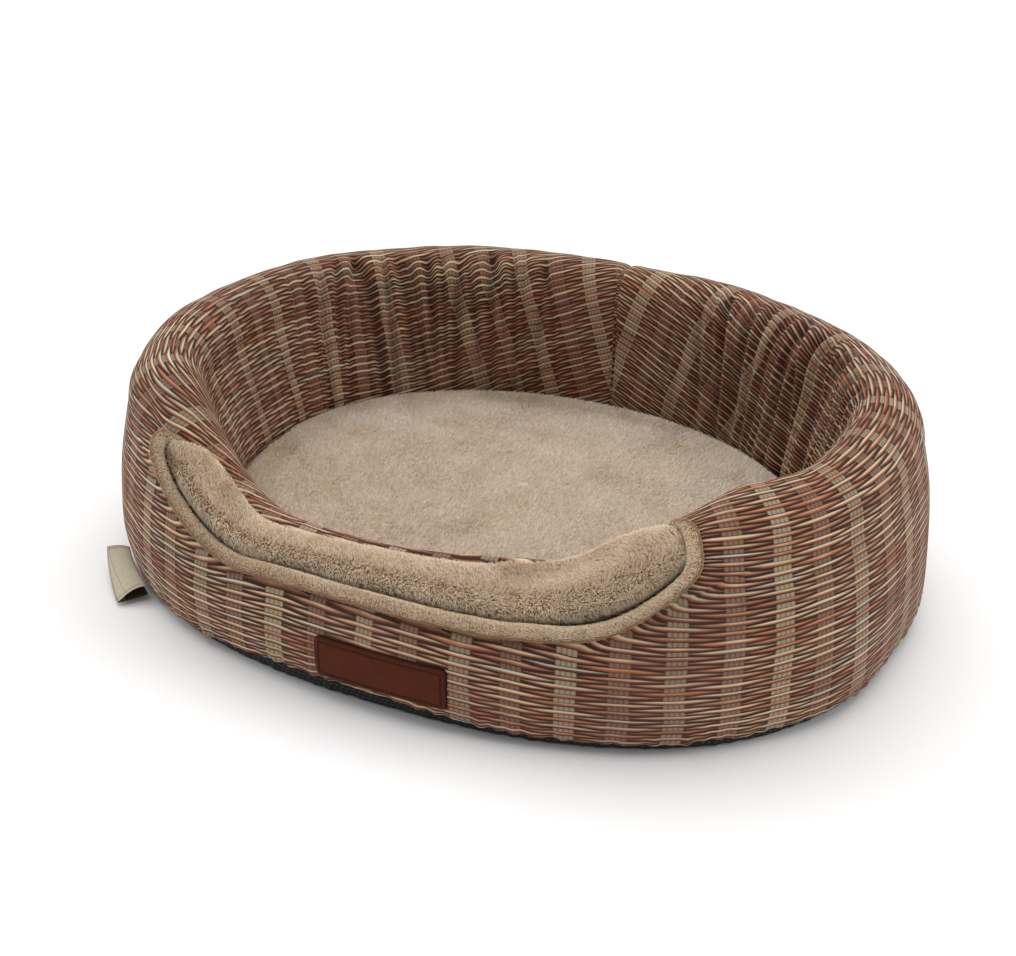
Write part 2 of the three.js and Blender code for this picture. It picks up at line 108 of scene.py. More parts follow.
def section(phi, station):
    """Inset and height. Station 0 is the outer foot, 2 the crest and 4 the inner foot."""
    start = crest(phi) - RIM_RISE
    full = WALL_HEIGHT - RIM_RISE - BELLY_HEIGHT
    lean = RIM_LEAN * np.maximum(0, start - BELLY_HEIGHT) / full
    h0 = station * start
    below = BASE_INSET * ((BELLY_HEIGHT - h0) / BELLY_HEIGHT) ** 2
    above = lean * ((h0 - BELLY_HEIGHT) / (start - BELLY_HEIGHT)) ** 2
    outer_turn, inner_turn = (station - 1) * PI / 2, (station - 2) * PI / 2
    h3 = start * (4 - station)
    slope = np.minimum(1, (start - h3) / (start - np.minimum(INNER_FOOT, start - 1)))
    where = [station < 1, station < 2, station < 3]
    inset = np.select(
        where,
        [
            np.where(h0 < BELLY_HEIGHT, below, above),
            CREST_INSET - (CREST_INSET - lean) * np.cos(outer_turn),
            CREST_INSET + (RIM_INSET - CREST_INSET) * np.sin(inner_turn),
        ],
        RIM_INSET + (foot_inset(phi) - RIM_INSET) * slope,
    )
    rim = [h0, start + RIM_RISE * np.sin(outer_turn), start + RIM_RISE * np.cos(inner_turn)]
    return inset, np.select(where, rim, h3)


def wall(phi, station, proud=0.0):
    """Points of the wall surface, moved outwards along its normal."""
    phi, station, proud = np.broadcast_arrays(*map(np.asarray, (phi, station, proud)))
    inset, height = section(phi, station)
    inset0, height0 = section(phi, station - 0.01)
    inset1, height1 = section(phi, station + 0.01)
    run, rise = inset1 - inset0, height1 - height0
    length = np.hypot(run, rise)
    inset = inset - rise / length * proud
    height = height + run / length * proud
    point, normal = plan(phi)
    return np.concatenate([point - normal * inset[..., None], height[..., None]], -1)


def outer_station(phi, height):
    start = crest(phi) - RIM_RISE
    above = 1 + np.arcsin(np.clip((height - start) / RIM_RISE, 0, 1)) / (PI / 2)
    return np.where(height <= start, height / start, above)


def inner_station(phi, height):
    return 4 - height / (crest(phi) - RIM_RISE)


def inner_reach(phi):
    """Length of the outer quarter of the rim section, which one station spans."""
    lean = section(phi, np.ones_like(phi))[0]
    return PI / 2 * (CREST_INSET - lean + RIM_RISE) / 2


def outer_edge(phi):
    """Station of the flange's outer edge: level along the middle and lower at both tips."""
    degrees = np.degrees(phi)
    return 1.28 - 0.2 * smooth(-degrees, 10.0, 46.0) - 0.31 * smooth(degrees, 24.0, 41.0)


def inner_edge(phi):
    """Station of the roll's inner edge: further in towards the right and just before each tip."""
    degrees = np.degrees(phi)
    steady = 1.84 + 0.0055 * np.clip(degrees + 20.0, 0.0, 66.0)
    left = 0.18 * smooth(-degrees, 24.0, 38.0) - 0.3 * smooth(-degrees, 39.0, 46.0)
    return steady + left + 0.24 * smooth(degrees, 22.0, 46.0)


def lip(phi, station):
    """The cover is drawn up over the roll's inner seam, most to the right of the middle."""
    degrees = np.degrees(phi)
    drawn = 10.4 * smooth(degrees, -8.0, 25.0) - 6.0 * smooth(degrees, 23.0, 33.0)
    drawn = drawn - 4.4 * smooth(degrees, 36.0, 48.0)
    start = 2.02 - 0.14 * smooth(degrees, 10.0, 22.0)
    return drawn * smooth(station - start, 0.0, 0.28) * (1 - smooth(station, 2.4, 3.2))


def panel_edge(turn, inset, inner_inset):
    """The entrance panel's edge: turn 0 is the middle of the flange edge, pi the inner edge."""
    across, along = np.sin(turn), np.cos(turn)
    spread = np.sign(across) * np.abs(across) ** (2 / PANEL_POWER)
    depth = np.abs(along) ** (2 / PANEL_POWER)
    tip = np.linalg.norm(plan(np.array(PANEL_ANGLE))[0])
    phi = PANEL_MIDDLE + spread * (PANEL_ANGLE - inset / tip)
    outer = outer_edge(phi) + inset / inner_reach(phi)
    inner = inner_edge(phi) - inner_inset / inner_reach(phi)
    return phi, TIP_STATION + (np.where(along > 0, outer, inner) - TIP_STATION) * depth


def panel_reach(phi, station):
    """1 on the panel's edge, less inside it."""
    outer = TIP_STATION - outer_edge(phi)
    inner = inner_edge(phi) - TIP_STATION
    depth = np.where(station < TIP_STATION, (TIP_STATION - station) / outer, (station - TIP_STATION) / inner)
    turned = phi - PANEL_MIDDLE
    away = np.abs(np.arctan2(np.sin(turned), np.cos(turned))) / PANEL_ANGLE
    return (away**PANEL_POWER + np.abs(depth) ** PANEL_POWER) ** (1 / PANEL_POWER)


def waves(x, y, scale, seed, count=7):
    """Smooth repeatable unevenness between about -1 and 1."""
    own = np.random.default_rng(seed)
    total = 0.0
    for angle, phase, stretch in zip(
        own.uniform(0, 2 * PI, count), own.uniform(0, 2 * PI, count), own.uniform(0.6, 1.7, count)
    ):
        total = total + np.sin((x * math.cos(angle) + y * math.sin(angle)) * stretch * 2 * PI / scale + phase)
    return total / count**0.5 / 1.3


# --- Meshes ---


def grid_faces(rows, columns, close_rows=False, close_columns=False):
    """Quads over a grid of points stored row by row."""
    i = np.arange(rows if close_rows else rows - 1)
    j = np.arange(columns if close_columns else columns - 1)
    i, j = (a.ravel() for a in np.meshgrid(i, j, indexing="ij"))
    i1, j1 = (i + 1) % rows, (j + 1) % columns
    return np.stack([i * columns + j, i1 * columns + j, i1 * columns + j1, i * columns + j1], -1)


def put_in_scene(name, data):
    made = bpy.data.objects.new(name, data)
    bpy.context.scene.collection.objects.link(made)
    return made


def corner_places(lay, faces):
    """One place for each corner of each face, from one for each point."""
    return lay[np.concatenate([np.asarray(face) for face in faces])]


def make(name, points, faces, materials, uvs=None, values=None, indices=None):
    """A mesh object from points in millimetres. uvs holds one pair for each corner of each face."""
    mesh = bpy.data.meshes.new(name)
    faces = faces if isinstance(faces, list) else faces.tolist()
    mesh.from_pydata((np.asarray(points).reshape(-1, 3) * MM).tolist(), [], faces)
    for layer, pairs in (uvs or {}).items():
        mesh.uv_layers.new(name=layer).data.foreach_set("uv", np.asarray(pairs, np.float32).ravel())
    for attribute, numbers in (values or {}).items():
        made = mesh.attributes.new(attribute, "FLOAT", "POINT")
        made.data.foreach_set("value", np.asarray(numbers, np.float32).ravel())
    for material in materials:
        mesh.materials.append(material)
    if indices is not None:
        mesh.polygons.foreach_set("material_index", np.asarray(indices, np.int32))
    mesh.polygons.foreach_set("use_smooth", np.full(len(mesh.polygons), True))
    mesh.validate()
    mesh.update()
    return put_in_scene(name, mesh)


def add_piece(made, body, nodes=()):
    """Puts a finished piece on its CAD body, in place of CAD nodes."""
    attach(made, body)
    if nodes:
        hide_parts(*nodes)
    return made


def scatter(grid, count, weights=None):
    """Random places over a grid surface, even by area: points, normals, both tangents, places."""
    du, dv = grid[1:, :-1] - grid[:-1, :-1], grid[:-1, 1:] - grid[:-1, :-1]
    area = np.linalg.norm(np.cross(du, dv), axis=-1)
    chance = area if weights is None else area * weights
    cells = rng.choice(area.size, count, p=(chance / chance.sum()).ravel())
    i, j = np.unravel_index(cells, area.shape)
    a, b = rng.random((2, count, 1))
    low = grid[i, j] * (1 - a) + grid[i + 1, j] * a
    high = grid[i, j + 1] * (1 - a) + grid[i + 1, j + 1] * a
    along, across = grid[i + 1, j] - grid[i, j], high - low
    along = along / np.maximum(np.linalg.norm(along, axis=-1, keepdims=True), 1e-9)
    across = across / np.maximum(np.linalg.norm(across, axis=-1, keepdims=True), 1e-9)
    normal = np.cross(along, across)
    normal = normal / np.maximum(np.linalg.norm(normal, axis=-1, keepdims=True), 1e-9)
    place = np.stack([(i + a[:, 0]) / area.shape[0], (j + b[:, 0]) / area.shape[1]], -1)
    return low * (1 - b) + high * b, normal, along, across, place


def atlas(count, corners):
    """Texture places for many small pieces, one square cell each, given one cell's corners."""
    side = math.ceil(math.sqrt(count))
    cell = np.stack(np.divmod(np.arange(count), side), -1)[:, None, :]
    return ((cell + 0.1 + 0.8 * np.asarray(corners)[None]) / side).reshape(-1, 2)


def strands(name, places, lean, length, width, material, values, tilt):
    """Long pile: bent blades that start upright and lie over in the direction they are brushed in."""
    root, normal = places
    count = len(root)
    side = np.cross(normal, lean)
    side /= np.maximum(np.linalg.norm(side, axis=-1, keepdims=True), 1e-9)
    size = (length * rng.uniform(0.7, 1.25, count))[:, None]
    half = (0.5 * width * rng.uniform(0.7, 1.3, count))[:, None]
    low, high = (angle * rng.uniform(0.8, 1.2, (count, 1)) for angle in tilt)
    middle = root + size * 0.5 * (np.cos(low) * normal + np.sin(low) * lean)
    tip = middle + size * 0.5 * (np.cos(high) * normal + np.sin(high) * lean)
    tip += side * size * rng.normal(0, 0.12, (count, 1))
    foot = root - 0.5 * normal
    reach = side * half
    points = np.stack([foot - reach, foot + reach, middle + reach, middle - reach, tip], 1)
    quads = np.array([0, 1, 2, 3]) + 5 * np.arange(count)[:, None]
    ends = np.array([3, 2, 4]) + 5 * np.arange(count)[:, None]
    faces = quads.tolist() + ends.tolist()
    values = values | {
        "along": np.tile([0, 0, 0.5, 0.5, 1.0], count),
        "chance": np.repeat(rng.random(count), 5),
    }
    stalks = atlas(count, [(0, 0), (1, 0), (1, 0.5), (0, 0.5)])
    tips = atlas(count, [(0, 0.55), (1, 0.55), (0.5, 1)])
    return make(name, points, faces, [material], {"OFBake": np.concatenate([stalks, tips])}, values)


def blades(name, places, lean, length, width, material, values):
    """Short pile: one narrow triangle for each blade."""
    root, normal = places
    count = len(root)
    side = np.cross(normal, lean)
    side /= np.maximum(np.linalg.norm(side, axis=-1, keepdims=True), 1e-9)
    size = (length * rng.uniform(0.6, 1.25, count))[:, None]
    tilt = rng.uniform(0.5, 1.0, (count, 1))
    spin = rng.uniform(-0.9, 0.9, (count, 1))
    flat = side * np.cos(spin) + lean * np.sin(spin)
    tip = root + size * (np.cos(tilt) * normal + np.sin(tilt) * lean)
    tip += side * size * rng.normal(0, 0.15, (count, 1))
    foot = root - 0.3 * normal
    points = np.stack([foot - flat * width / 2, foot + flat * width / 2, tip], 1)
    faces = np.arange(3 * count).reshape(-1, 3)
    own = {key: np.repeat(numbers, 3) for key, numbers in values.items()}
    own |= {"along": np.tile([0, 0, 1.0], count), "chance": np.repeat(rng.random(count), 3)}
    uvs = {"OFBake": atlas(count, [(0, 0), (1, 0), (0.5, 1)])}
    return make(name, points, faces, [material], uvs, own)


# --- Shader graphs ---


def tint(red, green, blue):
    """A screen colour, 0 to 255, as linear RGBA."""
    parts = [c / 255 for c in (red, green, blue)]
    return (*[c / 12.92 if c < 0.04045 else ((c + 0.055) / 1.055) ** 2.4 for c in parts], 1.0)


class Term:
    """A shader socket that ordinary arithmetic works on."""

    def __init__(self, graph, socket):
        self.graph, self.socket = graph, socket


def operator(operation, swapped):
    def apply(term, other):
        return term.graph.math(operation, *((other, term) if swapped else (term, other)))

    return apply


for method, operation, swapped in (
    ("__add__", "ADD", False),
    ("__radd__", "ADD", True),
    ("__sub__", "SUBTRACT", False),
    ("__rsub__", "SUBTRACT", True),
    ("__mul__", "MULTIPLY", False),
    ("__rmul__", "MULTIPLY", True),
    ("__truediv__", "DIVIDE", False),
    ("__pow__", "POWER", False),
):
    setattr(Term, method, operator(operation, swapped))


class Graph:
    """A material's node tree, with short calls for the nodes used here."""

    def __init__(self, name, roughness=0.9, sheen=0.0, sheen_tint=(1, 1, 1, 1), specular=0.3):
        self.material = bpy.data.materials.new(name)
        self.material.use_nodes = True
        self.tree = self.material.node_tree
        self.shader = next(n for n in self.tree.nodes if n.type == "BSDF_PRINCIPLED")
        self.shader.inputs["Roughness"].default_value = roughness
        self.shader.inputs["Specular IOR Level"].default_value = specular
        self.shader.inputs["Sheen Weight"].default_value = sheen
        self.shader.inputs["Sheen Roughness"].default_value = 0.5
        self.shader.inputs["Sheen Tint"].default_value = sheen_tint

    def put(self, socket, value):
        if isinstance(value, Term):
            self.tree.links.new(value.socket, socket)
        else:
            socket.default_value = value

    def node(self, kind, **settings):
        made = self.tree.nodes.new(kind)
        for key, value in settings.items():
            setattr(made, key, value)
        return made

    def math(self, operation, *values):
        made = self.node("ShaderNodeMath", operation=operation)
        for socket, value in zip(made.inputs, values):
            self.put(socket, value)
        return Term(self, made.outputs[0])

    def wave(self, value, pitch):
        return self.math("SINE", value * 2 * PI / pitch)

    def floor(self, value):
        return self.math("FLOOR", value)

    def abs(self, value):
        return self.math("ABSOLUTE", value)

    def step(self, value, low, high):
        """Smooth step from 0 at low to 1 at high."""
        made = self.node("ShaderNodeMapRange", interpolation_type="SMOOTHSTEP")
        made.inputs["From Min"].default_value = low
        made.inputs["From Max"].default_value = high
        self.put(made.inputs["Value"], value)
        return Term(self, made.outputs["Result"])

    def coordinates(self, layer):
        made = self.node("ShaderNodeUVMap", uv_map=layer)
        split = self.node("ShaderNodeSeparateXYZ")
        self.tree.links.new(made.outputs[0], split.inputs[0])
        return Term(self, split.outputs[0]), Term(self, split.outputs[1])

    def place(self):
        """Position on the object, in millimetres."""
        made = self.node("ShaderNodeTexCoord")
        scaled = self.node("ShaderNodeVectorMath", operation="SCALE")
        scaled.inputs["Scale"].default_value = 1000
        self.tree.links.new(made.outputs["Object"], scaled.inputs[0])
        return Term(self, scaled.outputs[0])

    def join(self, x, y, z=0.0):
        made = self.node("ShaderNodeCombineXYZ")
        for socket, value in zip(made.inputs, (x, y, z)):
            self.put(socket, value)
        return Term(self, made.outputs[0])

    def value(self, attribute):
        made = self.node("ShaderNodeAttribute", attribute_name=attribute)
        return Term(self, made.outputs["Fac"])

    def noise(self, vector, size, detail=2.0, roughness=0.5):
        """Soft noise with features of about size millimetres, centred on 0.5."""
        made = self.node("ShaderNodeTexNoise")
        made.inputs["Scale"].default_value = 1 / size
        made.inputs["Detail"].default_value = detail
        made.inputs["Roughness"].default_value = roughness
        self.put(made.inputs["Vector"], vector)
        return Term(self, made.outputs["Fac"])

    def chances(self, vector):
        """Three random numbers for each whole-number place."""
        made = self.node("ShaderNodeTexWhiteNoise", noise_dimensions="3D")
        self.put(made.inputs["Vector"], vector)
        split = self.node("ShaderNodeSeparateColor")
        self.tree.links.new(made.outputs["Color"], split.inputs[0])
        return [Term(self, socket) for socket in split.outputs]

    def cells(self, vector, size):
        """Distance to the edge of cells of about size millimetres."""
        made = self.node("ShaderNodeTexVoronoi", feature="DISTANCE_TO_EDGE")
        made.inputs["Scale"].default_value = 1 / size
        self.put(made.inputs["Vector"], vector)
        return Term(self, made.outputs["Distance"])

    def ramp(self, factor, stops):
        """Colour stops as (position, colour) pairs."""
        made = self.node("ShaderNodeValToRGB")
        elements = made.color_ramp.elements
        while len(elements) < len(stops):
            elements.new(1.0)
        for element, (position, colour) in zip(elements, stops):
            element.position = position
            element.color = colour
        self.put(made.inputs[0], factor)
        return Term(self, made.outputs[0])

    def mix(self, factor, first, second, blend="MIX"):
        made = self.node("ShaderNodeMix", data_type="RGBA", blend_type=blend)
        self.put(made.inputs[0], factor)
        self.put(made.inputs[6], first)
        self.put(made.inputs[7], second)
        return Term(self, made.outputs[2])

    def shade(self, colour, amount):
        """colour multiplied by a grey amount."""
        return self.mix(1.0, colour, self.join(amount, amount, amount), "MULTIPLY")

    def finish(self, colour, height=None, depth=0.1, roughness=None):
        """Colour, and a bump whose full height is depth millimetres."""
        self.put(self.shader.inputs["Base Color"], colour)
        if roughness is not None:
            self.put(self.shader.inputs["Roughness"], roughness)
        if height is not None:
            bump = self.node("ShaderNodeBump")
            bump.inputs["Strength"].default_value = 1.0
            bump.inputs["Distance"].default_value = depth * MM
            self.put(bump.inputs["Height"], height)
            self.tree.links.new(bump.outputs[0], self.shader.inputs["Normal"])
        return self.material


# --- Materials ---


def reed_ramp(g, across, stops):
    """A reed's colours from its lower edge, 0, to its upper edge, 1."""
    return g.ramp(across, [(place, tint(*screen)) for place, *screen in stops])


def wicker_material():
    """Canvas printed with a basket weave: thin reeds that pass over flat stakes in turn."""
    g = Graph("wicker_print", roughness=0.85, sheen=0.05, specular=0.2)
    u, v = g.coordinates("print")
    spot = g.join(u, v)
    v = v + (g.noise(spot, 42.0, 1.0) - 0.5) * 1.8
    u = u + (g.noise(g.join(v, u * 0.3), 26.0, 1.0) - 0.5) * 3.0
    row = g.floor(v / ROW_PITCH)
    rise = (v / ROW_PITCH - row - 0.5) * ROW_PITCH
    odd = g.math("FLOORED_MODULO", row, 2.0)
    run = u / (2 * STAKE_PITCH) + odd * 0.5
    reed = g.floor(run)
    x = (run - reed - 0.5) * 2.0
    first, second, third = g.chances(g.join(reed, row, 0.5))
    fourth, fifth, sixth = g.chances(g.join(reed, row, 7.5))

    # One reed: thick over its middle stake, thin where it passes behind the next ones.
    rise = rise + (first - 0.5) * x * 0.7 + (second - 0.5) * 0.3
    body = g.math("MAXIMUM", 1.0 - x * x, 0.0) ** 1.25
    half = (0.2 + 1.2 * body) * (0.84 + 0.3 * third)
    q = rise / half
    inside = 1.0 - g.step(g.abs(q), 0.72, 1.15)
    across = q * 0.5 + 0.5
    dull = reed_ramp(g, across, ((0.0, 62, 34, 26), (0.25, 118, 70, 50), (0.5, 156, 104, 77),
                                 (0.72, 184, 138, 108), (0.88, 122, 80, 62), (1.0, 66, 40, 32)))
    pale = reed_ramp(g, across, ((0.0, 66, 37, 27), (0.2, 132, 76, 50), (0.42, 178, 126, 92),
                                 (0.66, 216, 200, 168), (0.82, 184, 172, 144), (1.0, 76, 54, 42)))
    rust = reed_ramp(g, across, ((0.0, 60, 31, 22), (0.28, 134, 70, 44), (0.5, 168, 98, 64),
                                 (0.75, 190, 138, 102), (1.0, 76, 45, 33)))
    streak = g.noise(g.join(u * 0.06, v * 0.5, row), 1.1, 2.0)
    paleness = g.step(fourth * 0.7 + streak * 0.6 - g.abs(x) * 0.4, 0.26, 0.68)
    colour = g.mix(g.step(fifth, 0.45, 0.9), dull, rust)
    colour = g.mix(paleness, colour, pale)
    minty = g.step(sixth, 0.94, 0.96) * g.step(across, 0.4, 0.6) * (1.0 - g.step(across, 0.8, 0.95))
    colour = g.mix(minty * 0.75, colour, tint(186, 200, 182))
    ends = 1.1 - 0.72 * g.step(g.abs(x), 0.3, 0.88)
    colour = g.shade(colour, ends * (0.84 + 0.3 * streak) * (0.86 + 0.25 * second))

    # Stakes show where the row's reed passes behind them.
    stake = g.floor(u / STAKE_PITCH + 0.5)
    offset = (u / STAKE_PITCH - stake) * STAKE_PITCH
    stake_first, stake_second, stake_third = g.chances(g.join(stake, 3.0, 2.5))
    offset = offset + (stake_first - 0.5) * 3.0 + (g.noise(g.join(v, stake), 30.0, 1.0) - 0.5) * 3.0
    wide = 5.7 + stake_second * 1.3
    cane = offset / (wide * 0.5)
    inside_cane = cane - g.floor(cane)
    bump = g.math("MAXIMUM", 1.0 - (inside_cane * 2.0 - 1.0) ** 2.0, 0.0) ** 0.5
    edge = 1.0 - g.step(g.abs(offset) / wide, 0.9, 1.06)
    front = edge * g.step(g.abs(x), 0.5, 0.62)
    shadow = 1.0 - 0.6 * g.step(g.abs(v / ROW_PITCH - row - 0.5), 0.28, 0.56)
    light = g.mix(stake_third, tint(146, 127, 106), tint(168, 149, 124))
    brown = g.mix(stake_third, tint(124, 90, 74), tint(140, 108, 90))
    browner = g.math("FLOORED_MODULO", stake, 2.0) + (stake_first - 0.5) * 0.7
    stake_colour = g.mix(g.step(browner, 0.35, 0.65), light, brown)
    grain = g.noise(g.join(u * 2.0, v * 0.3), 1.2, 2.0)
    stake_colour = g.shade(stake_colour, (0.3 + 0.72 * bump) * shadow * (0.8 + 0.4 * grain))
    gap = g.mix(g.noise(spot, 7.0, 2.0), tint(40, 22, 17), tint(72, 42, 32))
    colour = g.mix(inside, gap, colour)
    colour = g.mix(front, colour, stake_colour)

    # Uneven dye, the threads of the canvas, and painted shade in the cover's creases.
    dyed = g.noise(spot, 120.0, 2.0)
    colour = g.mix(g.step(dyed, 0.45, 0.7) * 0.22, colour, tint(112, 76, 66))
    faded = 0.86 + 0.3 * g.noise(spot, 80.0, 2.0)
    weave = g.wave(u, CANVAS_PITCH) * g.wave(v, CANVAS_PITCH)
    threads = g.noise(spot, 0.8, 1.0)
    # Painted shade: the colour darkens in the gathers' creases and along the edge under the roll.
    hollow = 1.0 - 0.32 * g.value("crease_shade")
    colour = g.shade(colour, faded * (0.93 + 0.14 * threads) * hollow)
    height = weave * 0.5 + threads * 0.8 + inside * 0.5
    return g.finish(colour, height, 0.12)


def plush_material(name, root, middle, tip):
    """Pile whose colour goes from a deeper root to a pale tip."""
    g = Graph(name, roughness=0.95, sheen=0.2, sheen_tint=tip, specular=0.15)
    along, chance = g.value("along"), g.value("chance")
    colour = g.ramp(along, [(0.0, root), (0.42, middle), (1.0, tip)])
    patch = g.noise(g.place(), 26.0, 2.0)
    # Painted shade: darker where the hollow value marks the groove behind the flange.
    colour = g.shade(colour, (0.62 + 0.54 * chance + 0.26 * patch) * (1.0 - 0.52 * g.value("hollow")))
    warm = g.mix(g.step(patch, 0.5, 0.75) * 0.4, colour, g.mix(0.5, middle, root))
    brushed = g.mix(g.step(g.value("streak"), 0.3, 1.0) * 0.3, warm, tint(196, 166, 126))
    return g.finish(brushed)


def nap_material(name, low, high):
    """The knitted ground under a pile."""
    g = Graph(name, roughness=1.0, sheen=0.1, specular=0.1)
    spot = g.place()
    fine = g.noise(spot, 1.1, 3.0)
    colour = g.mix(fine, low, high)
    # Painted shade: darker where the hollow value marks the groove behind the flange.
    colour = g.shade(colour, (0.85 + 0.3 * g.noise(spot, 24.0, 2.0)) * (1.0 - 0.6 * g.value("hollow")))
    return g.finish(colour, fine, 0.8)


def woven_material(name, dark, light):
    """Plain woven cloth."""
    g = Graph(name, roughness=0.9, sheen=0.1, specular=0.2)
    u, v = g.coordinates("cloth")
    weave = g.wave(u, CANVAS_PITCH) * g.wave(v, CANVAS_PITCH)
    slub = g.noise(g.join(u * 0.2, v), 1.6, 2.0) * 0.5 + g.noise(g.join(u, v * 0.2), 1.6, 2.0) * 0.5
    colour = g.mix(slub, dark, light)
    colour = g.shade(colour, 0.92 + 0.1 * weave + 0.1 * g.noise(g.join(u, v), 60.0, 2.0))
    return g.finish(colour, weave * 0.5 + slub, 0.15)


def base_material():
    """Black non-slip cloth with small soft grip dots."""
    g = Graph("base_cloth", roughness=0.85, specular=0.3)
    u, v = g.coordinates("cloth")
    row = g.floor(v / DOT_ROW)
    shift = g.math("FLOORED_MODULO", row, 2.0) * (DOT_PITCH / 2)
    du = (u + shift) / DOT_PITCH
    du = (du - g.floor(du) - 0.5) * DOT_PITCH
    dv = (v / DOT_ROW - row - 0.5) * DOT_ROW
    away = (du * du * 0.7 + dv * dv) ** 0.5
    dot = 1.0 - g.step(away, 0.75, 1.15)
    ground = g.mix(g.noise(g.join(u, v), 0.9, 2.0), tint(18, 18, 19), tint(38, 38, 40))
    colour = g.mix(dot, ground, tint(42, 44, 48))
    return g.finish(colour, dot + 0.3 * g.noise(g.join(u, v), 0.8, 2.0), 0.5, 0.9 - dot * 0.3)


def leather_material():
    """Smooth reddish brown leather, darker along its cut edge and border line."""
    g = Graph("patch_leather", roughness=0.5, specular=0.1)
    u, v = g.coordinates("cloth")
    spot = g.join(u, v)
    edge = g.value("edge")
    cloud = g.noise(spot, 12.0, 3.0)
    pores = g.cells(spot, 0.55)
    creases = g.noise(spot, 2.2, 4.0, 0.6)
    colour = g.mix(cloud, tint(68, 26, 8), tint(96, 41, 14))
    colour = g.shade(colour, 0.9 + 0.2 * creases)
    colour = g.mix(1.0 - g.step(edge, 0.0, 1.6), colour, tint(44, 20, 10))
    line = 1.0 - g.step(g.abs(edge - PATCH_BORDER), 0.3, 0.75)
    colour = g.mix(line * 0.75, colour, tint(48, 22, 12))
    height = pores * 1.5 + creases * 0.7 - line * 2.0
    return g.finish(colour, height, 0.18, 0.42 + 0.2 * cloud)


def foam_material():
    g = Graph("open_cell_foam", roughness=1.0, specular=0.1)
    spot = g.place()
    pores = g.cells(spot, 1.4)
    colour = g.mix(g.step(pores, 0.0, 0.25), tint(196, 184, 150), tint(233, 225, 202))
    colour = g.shade(colour, 0.9 + 0.2 * g.noise(spot, 40.0, 2.0))
    return g.finish(colour, pores, 0.6)


def fibre_material():
    g = Graph("polyester_fibre", roughness=1.0, sheen=0.3, specular=0.1)
    spot = g.place()
    strands = g.noise(spot, 2.5, 5.0, 0.7)
    colour = g.mix(strands, tint(214, 212, 206), tint(247, 246, 242))
    return g.finish(colour, strands, 1.2)


def label_material():
    """Cream ribbon with a double border line and a row of small dashes."""
    g = Graph("label_face", roughness=0.8, sheen=0.15, specular=0.2)
    u, v = g.coordinates("cloth")
    rib = g.wave(v, RIB_PITCH)
    colour = g.mix(g.noise(g.join(u, v), 3.0, 3.0), tint(206, 194, 164), tint(228, 218, 192))
    from_side = g.math("MINIMUM", u, LABEL_WIDTH - u)
    thick = 1.0 - g.step(g.abs(from_side - 2.0), 0.12, 0.3)
    thin = 1.0 - g.step(g.abs(from_side - 3.1), 0.08, 0.22)
    line = thick + thin
    colour = g.mix(g.math("MINIMUM", line, 1.0) * 0.75, colour, tint(92, 74, 56))
    dashes = g.step(g.wave(u, 2.2), 0.1, 0.4) * (1.0 - g.step(g.abs(v - 14.6), 0.15, 0.4))
    colour = g.mix(dashes * 0.8, colour, tint(110, 96, 78))
    return g.finish(g.shade(colour, 0.95 + 0.05 * rib), rib, 0.1)


def ribbon_material(name, dark, light):
    g = Graph(name, roughness=0.85, sheen=0.1, specular=0.2)
    u, v = g.coordinates("cloth")
    rib = g.wave(v, RIB_PITCH)
    colour = g.mix(g.noise(g.join(u, v), 2.0, 3.0), dark, light)
    return g.finish(g.shade(colour, 0.94 + 0.06 * rib), rib, 0.1)


def thread_material(name, dark, light):
    g = Graph(name, roughness=0.7, specular=0.3)
    twist = g.noise(g.place(), 0.5, 3.0)
    return g.finish(g.mix(twist, dark, light), twist, 0.15)


wicker = wicker_material()
roll_pile = plush_material("roll_pile", tint(140, 102, 60), tint(212, 182, 146), tint(244, 229, 206))
mat_pile = plush_material("mat_pile", tint(196, 176, 152), tint(228, 214, 198), tint(240, 229, 216))
roll_ground = nap_material("roll_ground", tint(132, 98, 58), tint(186, 152, 108))
mat_ground = nap_material("mat_ground", tint(186, 166, 142), tint(214, 198, 178))
black_cloth = base_material()
lining_cloth = woven_material("lining_cloth", tint(150, 134, 112), tint(190, 174, 150))
leather = leather_material()
foam = foam_material()
fibre = fibre_material()
label_face = label_material()
# label_inside is the ribbon's mustard reverse; the dark brown ribbon after it is painted shade for the inside
# of the loop and the underside of the lower layer.
label_inside = ribbon_material("label_inside", tint(176, 130, 40), tint(214, 172, 72))
label_shaded_back = ribbon_material("label_shaded_back", tint(58, 44, 34), tint(84, 66, 50))
dark_thread = thread_material("patch_thread", tint(38, 20, 12), tint(66, 38, 24))
pale_thread = thread_material("serging_thread", tint(176, 148, 104), tint(222, 204, 166))


# --- Wall cover ---


def hem_height(phi):
    """The hem runs a little unevenly round the bed."""
    degrees = np.degrees(np.arctan2(np.sin(phi), np.cos(phi)))
    front = 6.0 * (smooth(degrees, -34.0, -13.0) - smooth(degrees, -6.0, 38.0))
    return 6.4 + 2.6 * smooth(np.abs(degrees), 60.0, 120.0) + front


def outline_arc(count=4000):
    phi = np.linspace(-PI, PI, count)
    point = plan(phi)[0]
    steps = np.linalg.norm(np.diff(point, axis=0), axis=-1)
    return phi, np.concatenate([[0], np.cumsum(steps)])


arc_phi, arc_length = outline_arc()
OUTLINE = arc_length[-1]


def arc_at(phi):
    """Length along the outline from the front middle, for an angle between -pi and pi."""
    return np.interp(phi, arc_phi, arc_length) - OUTLINE / 2


def between(x, low, full_from, full_to, high):
    """1 from full_from to full_to, fading to 0 at low and high."""
    return float(smooth(x, low, full_from) * (1 - smooth(x, full_to, high)))


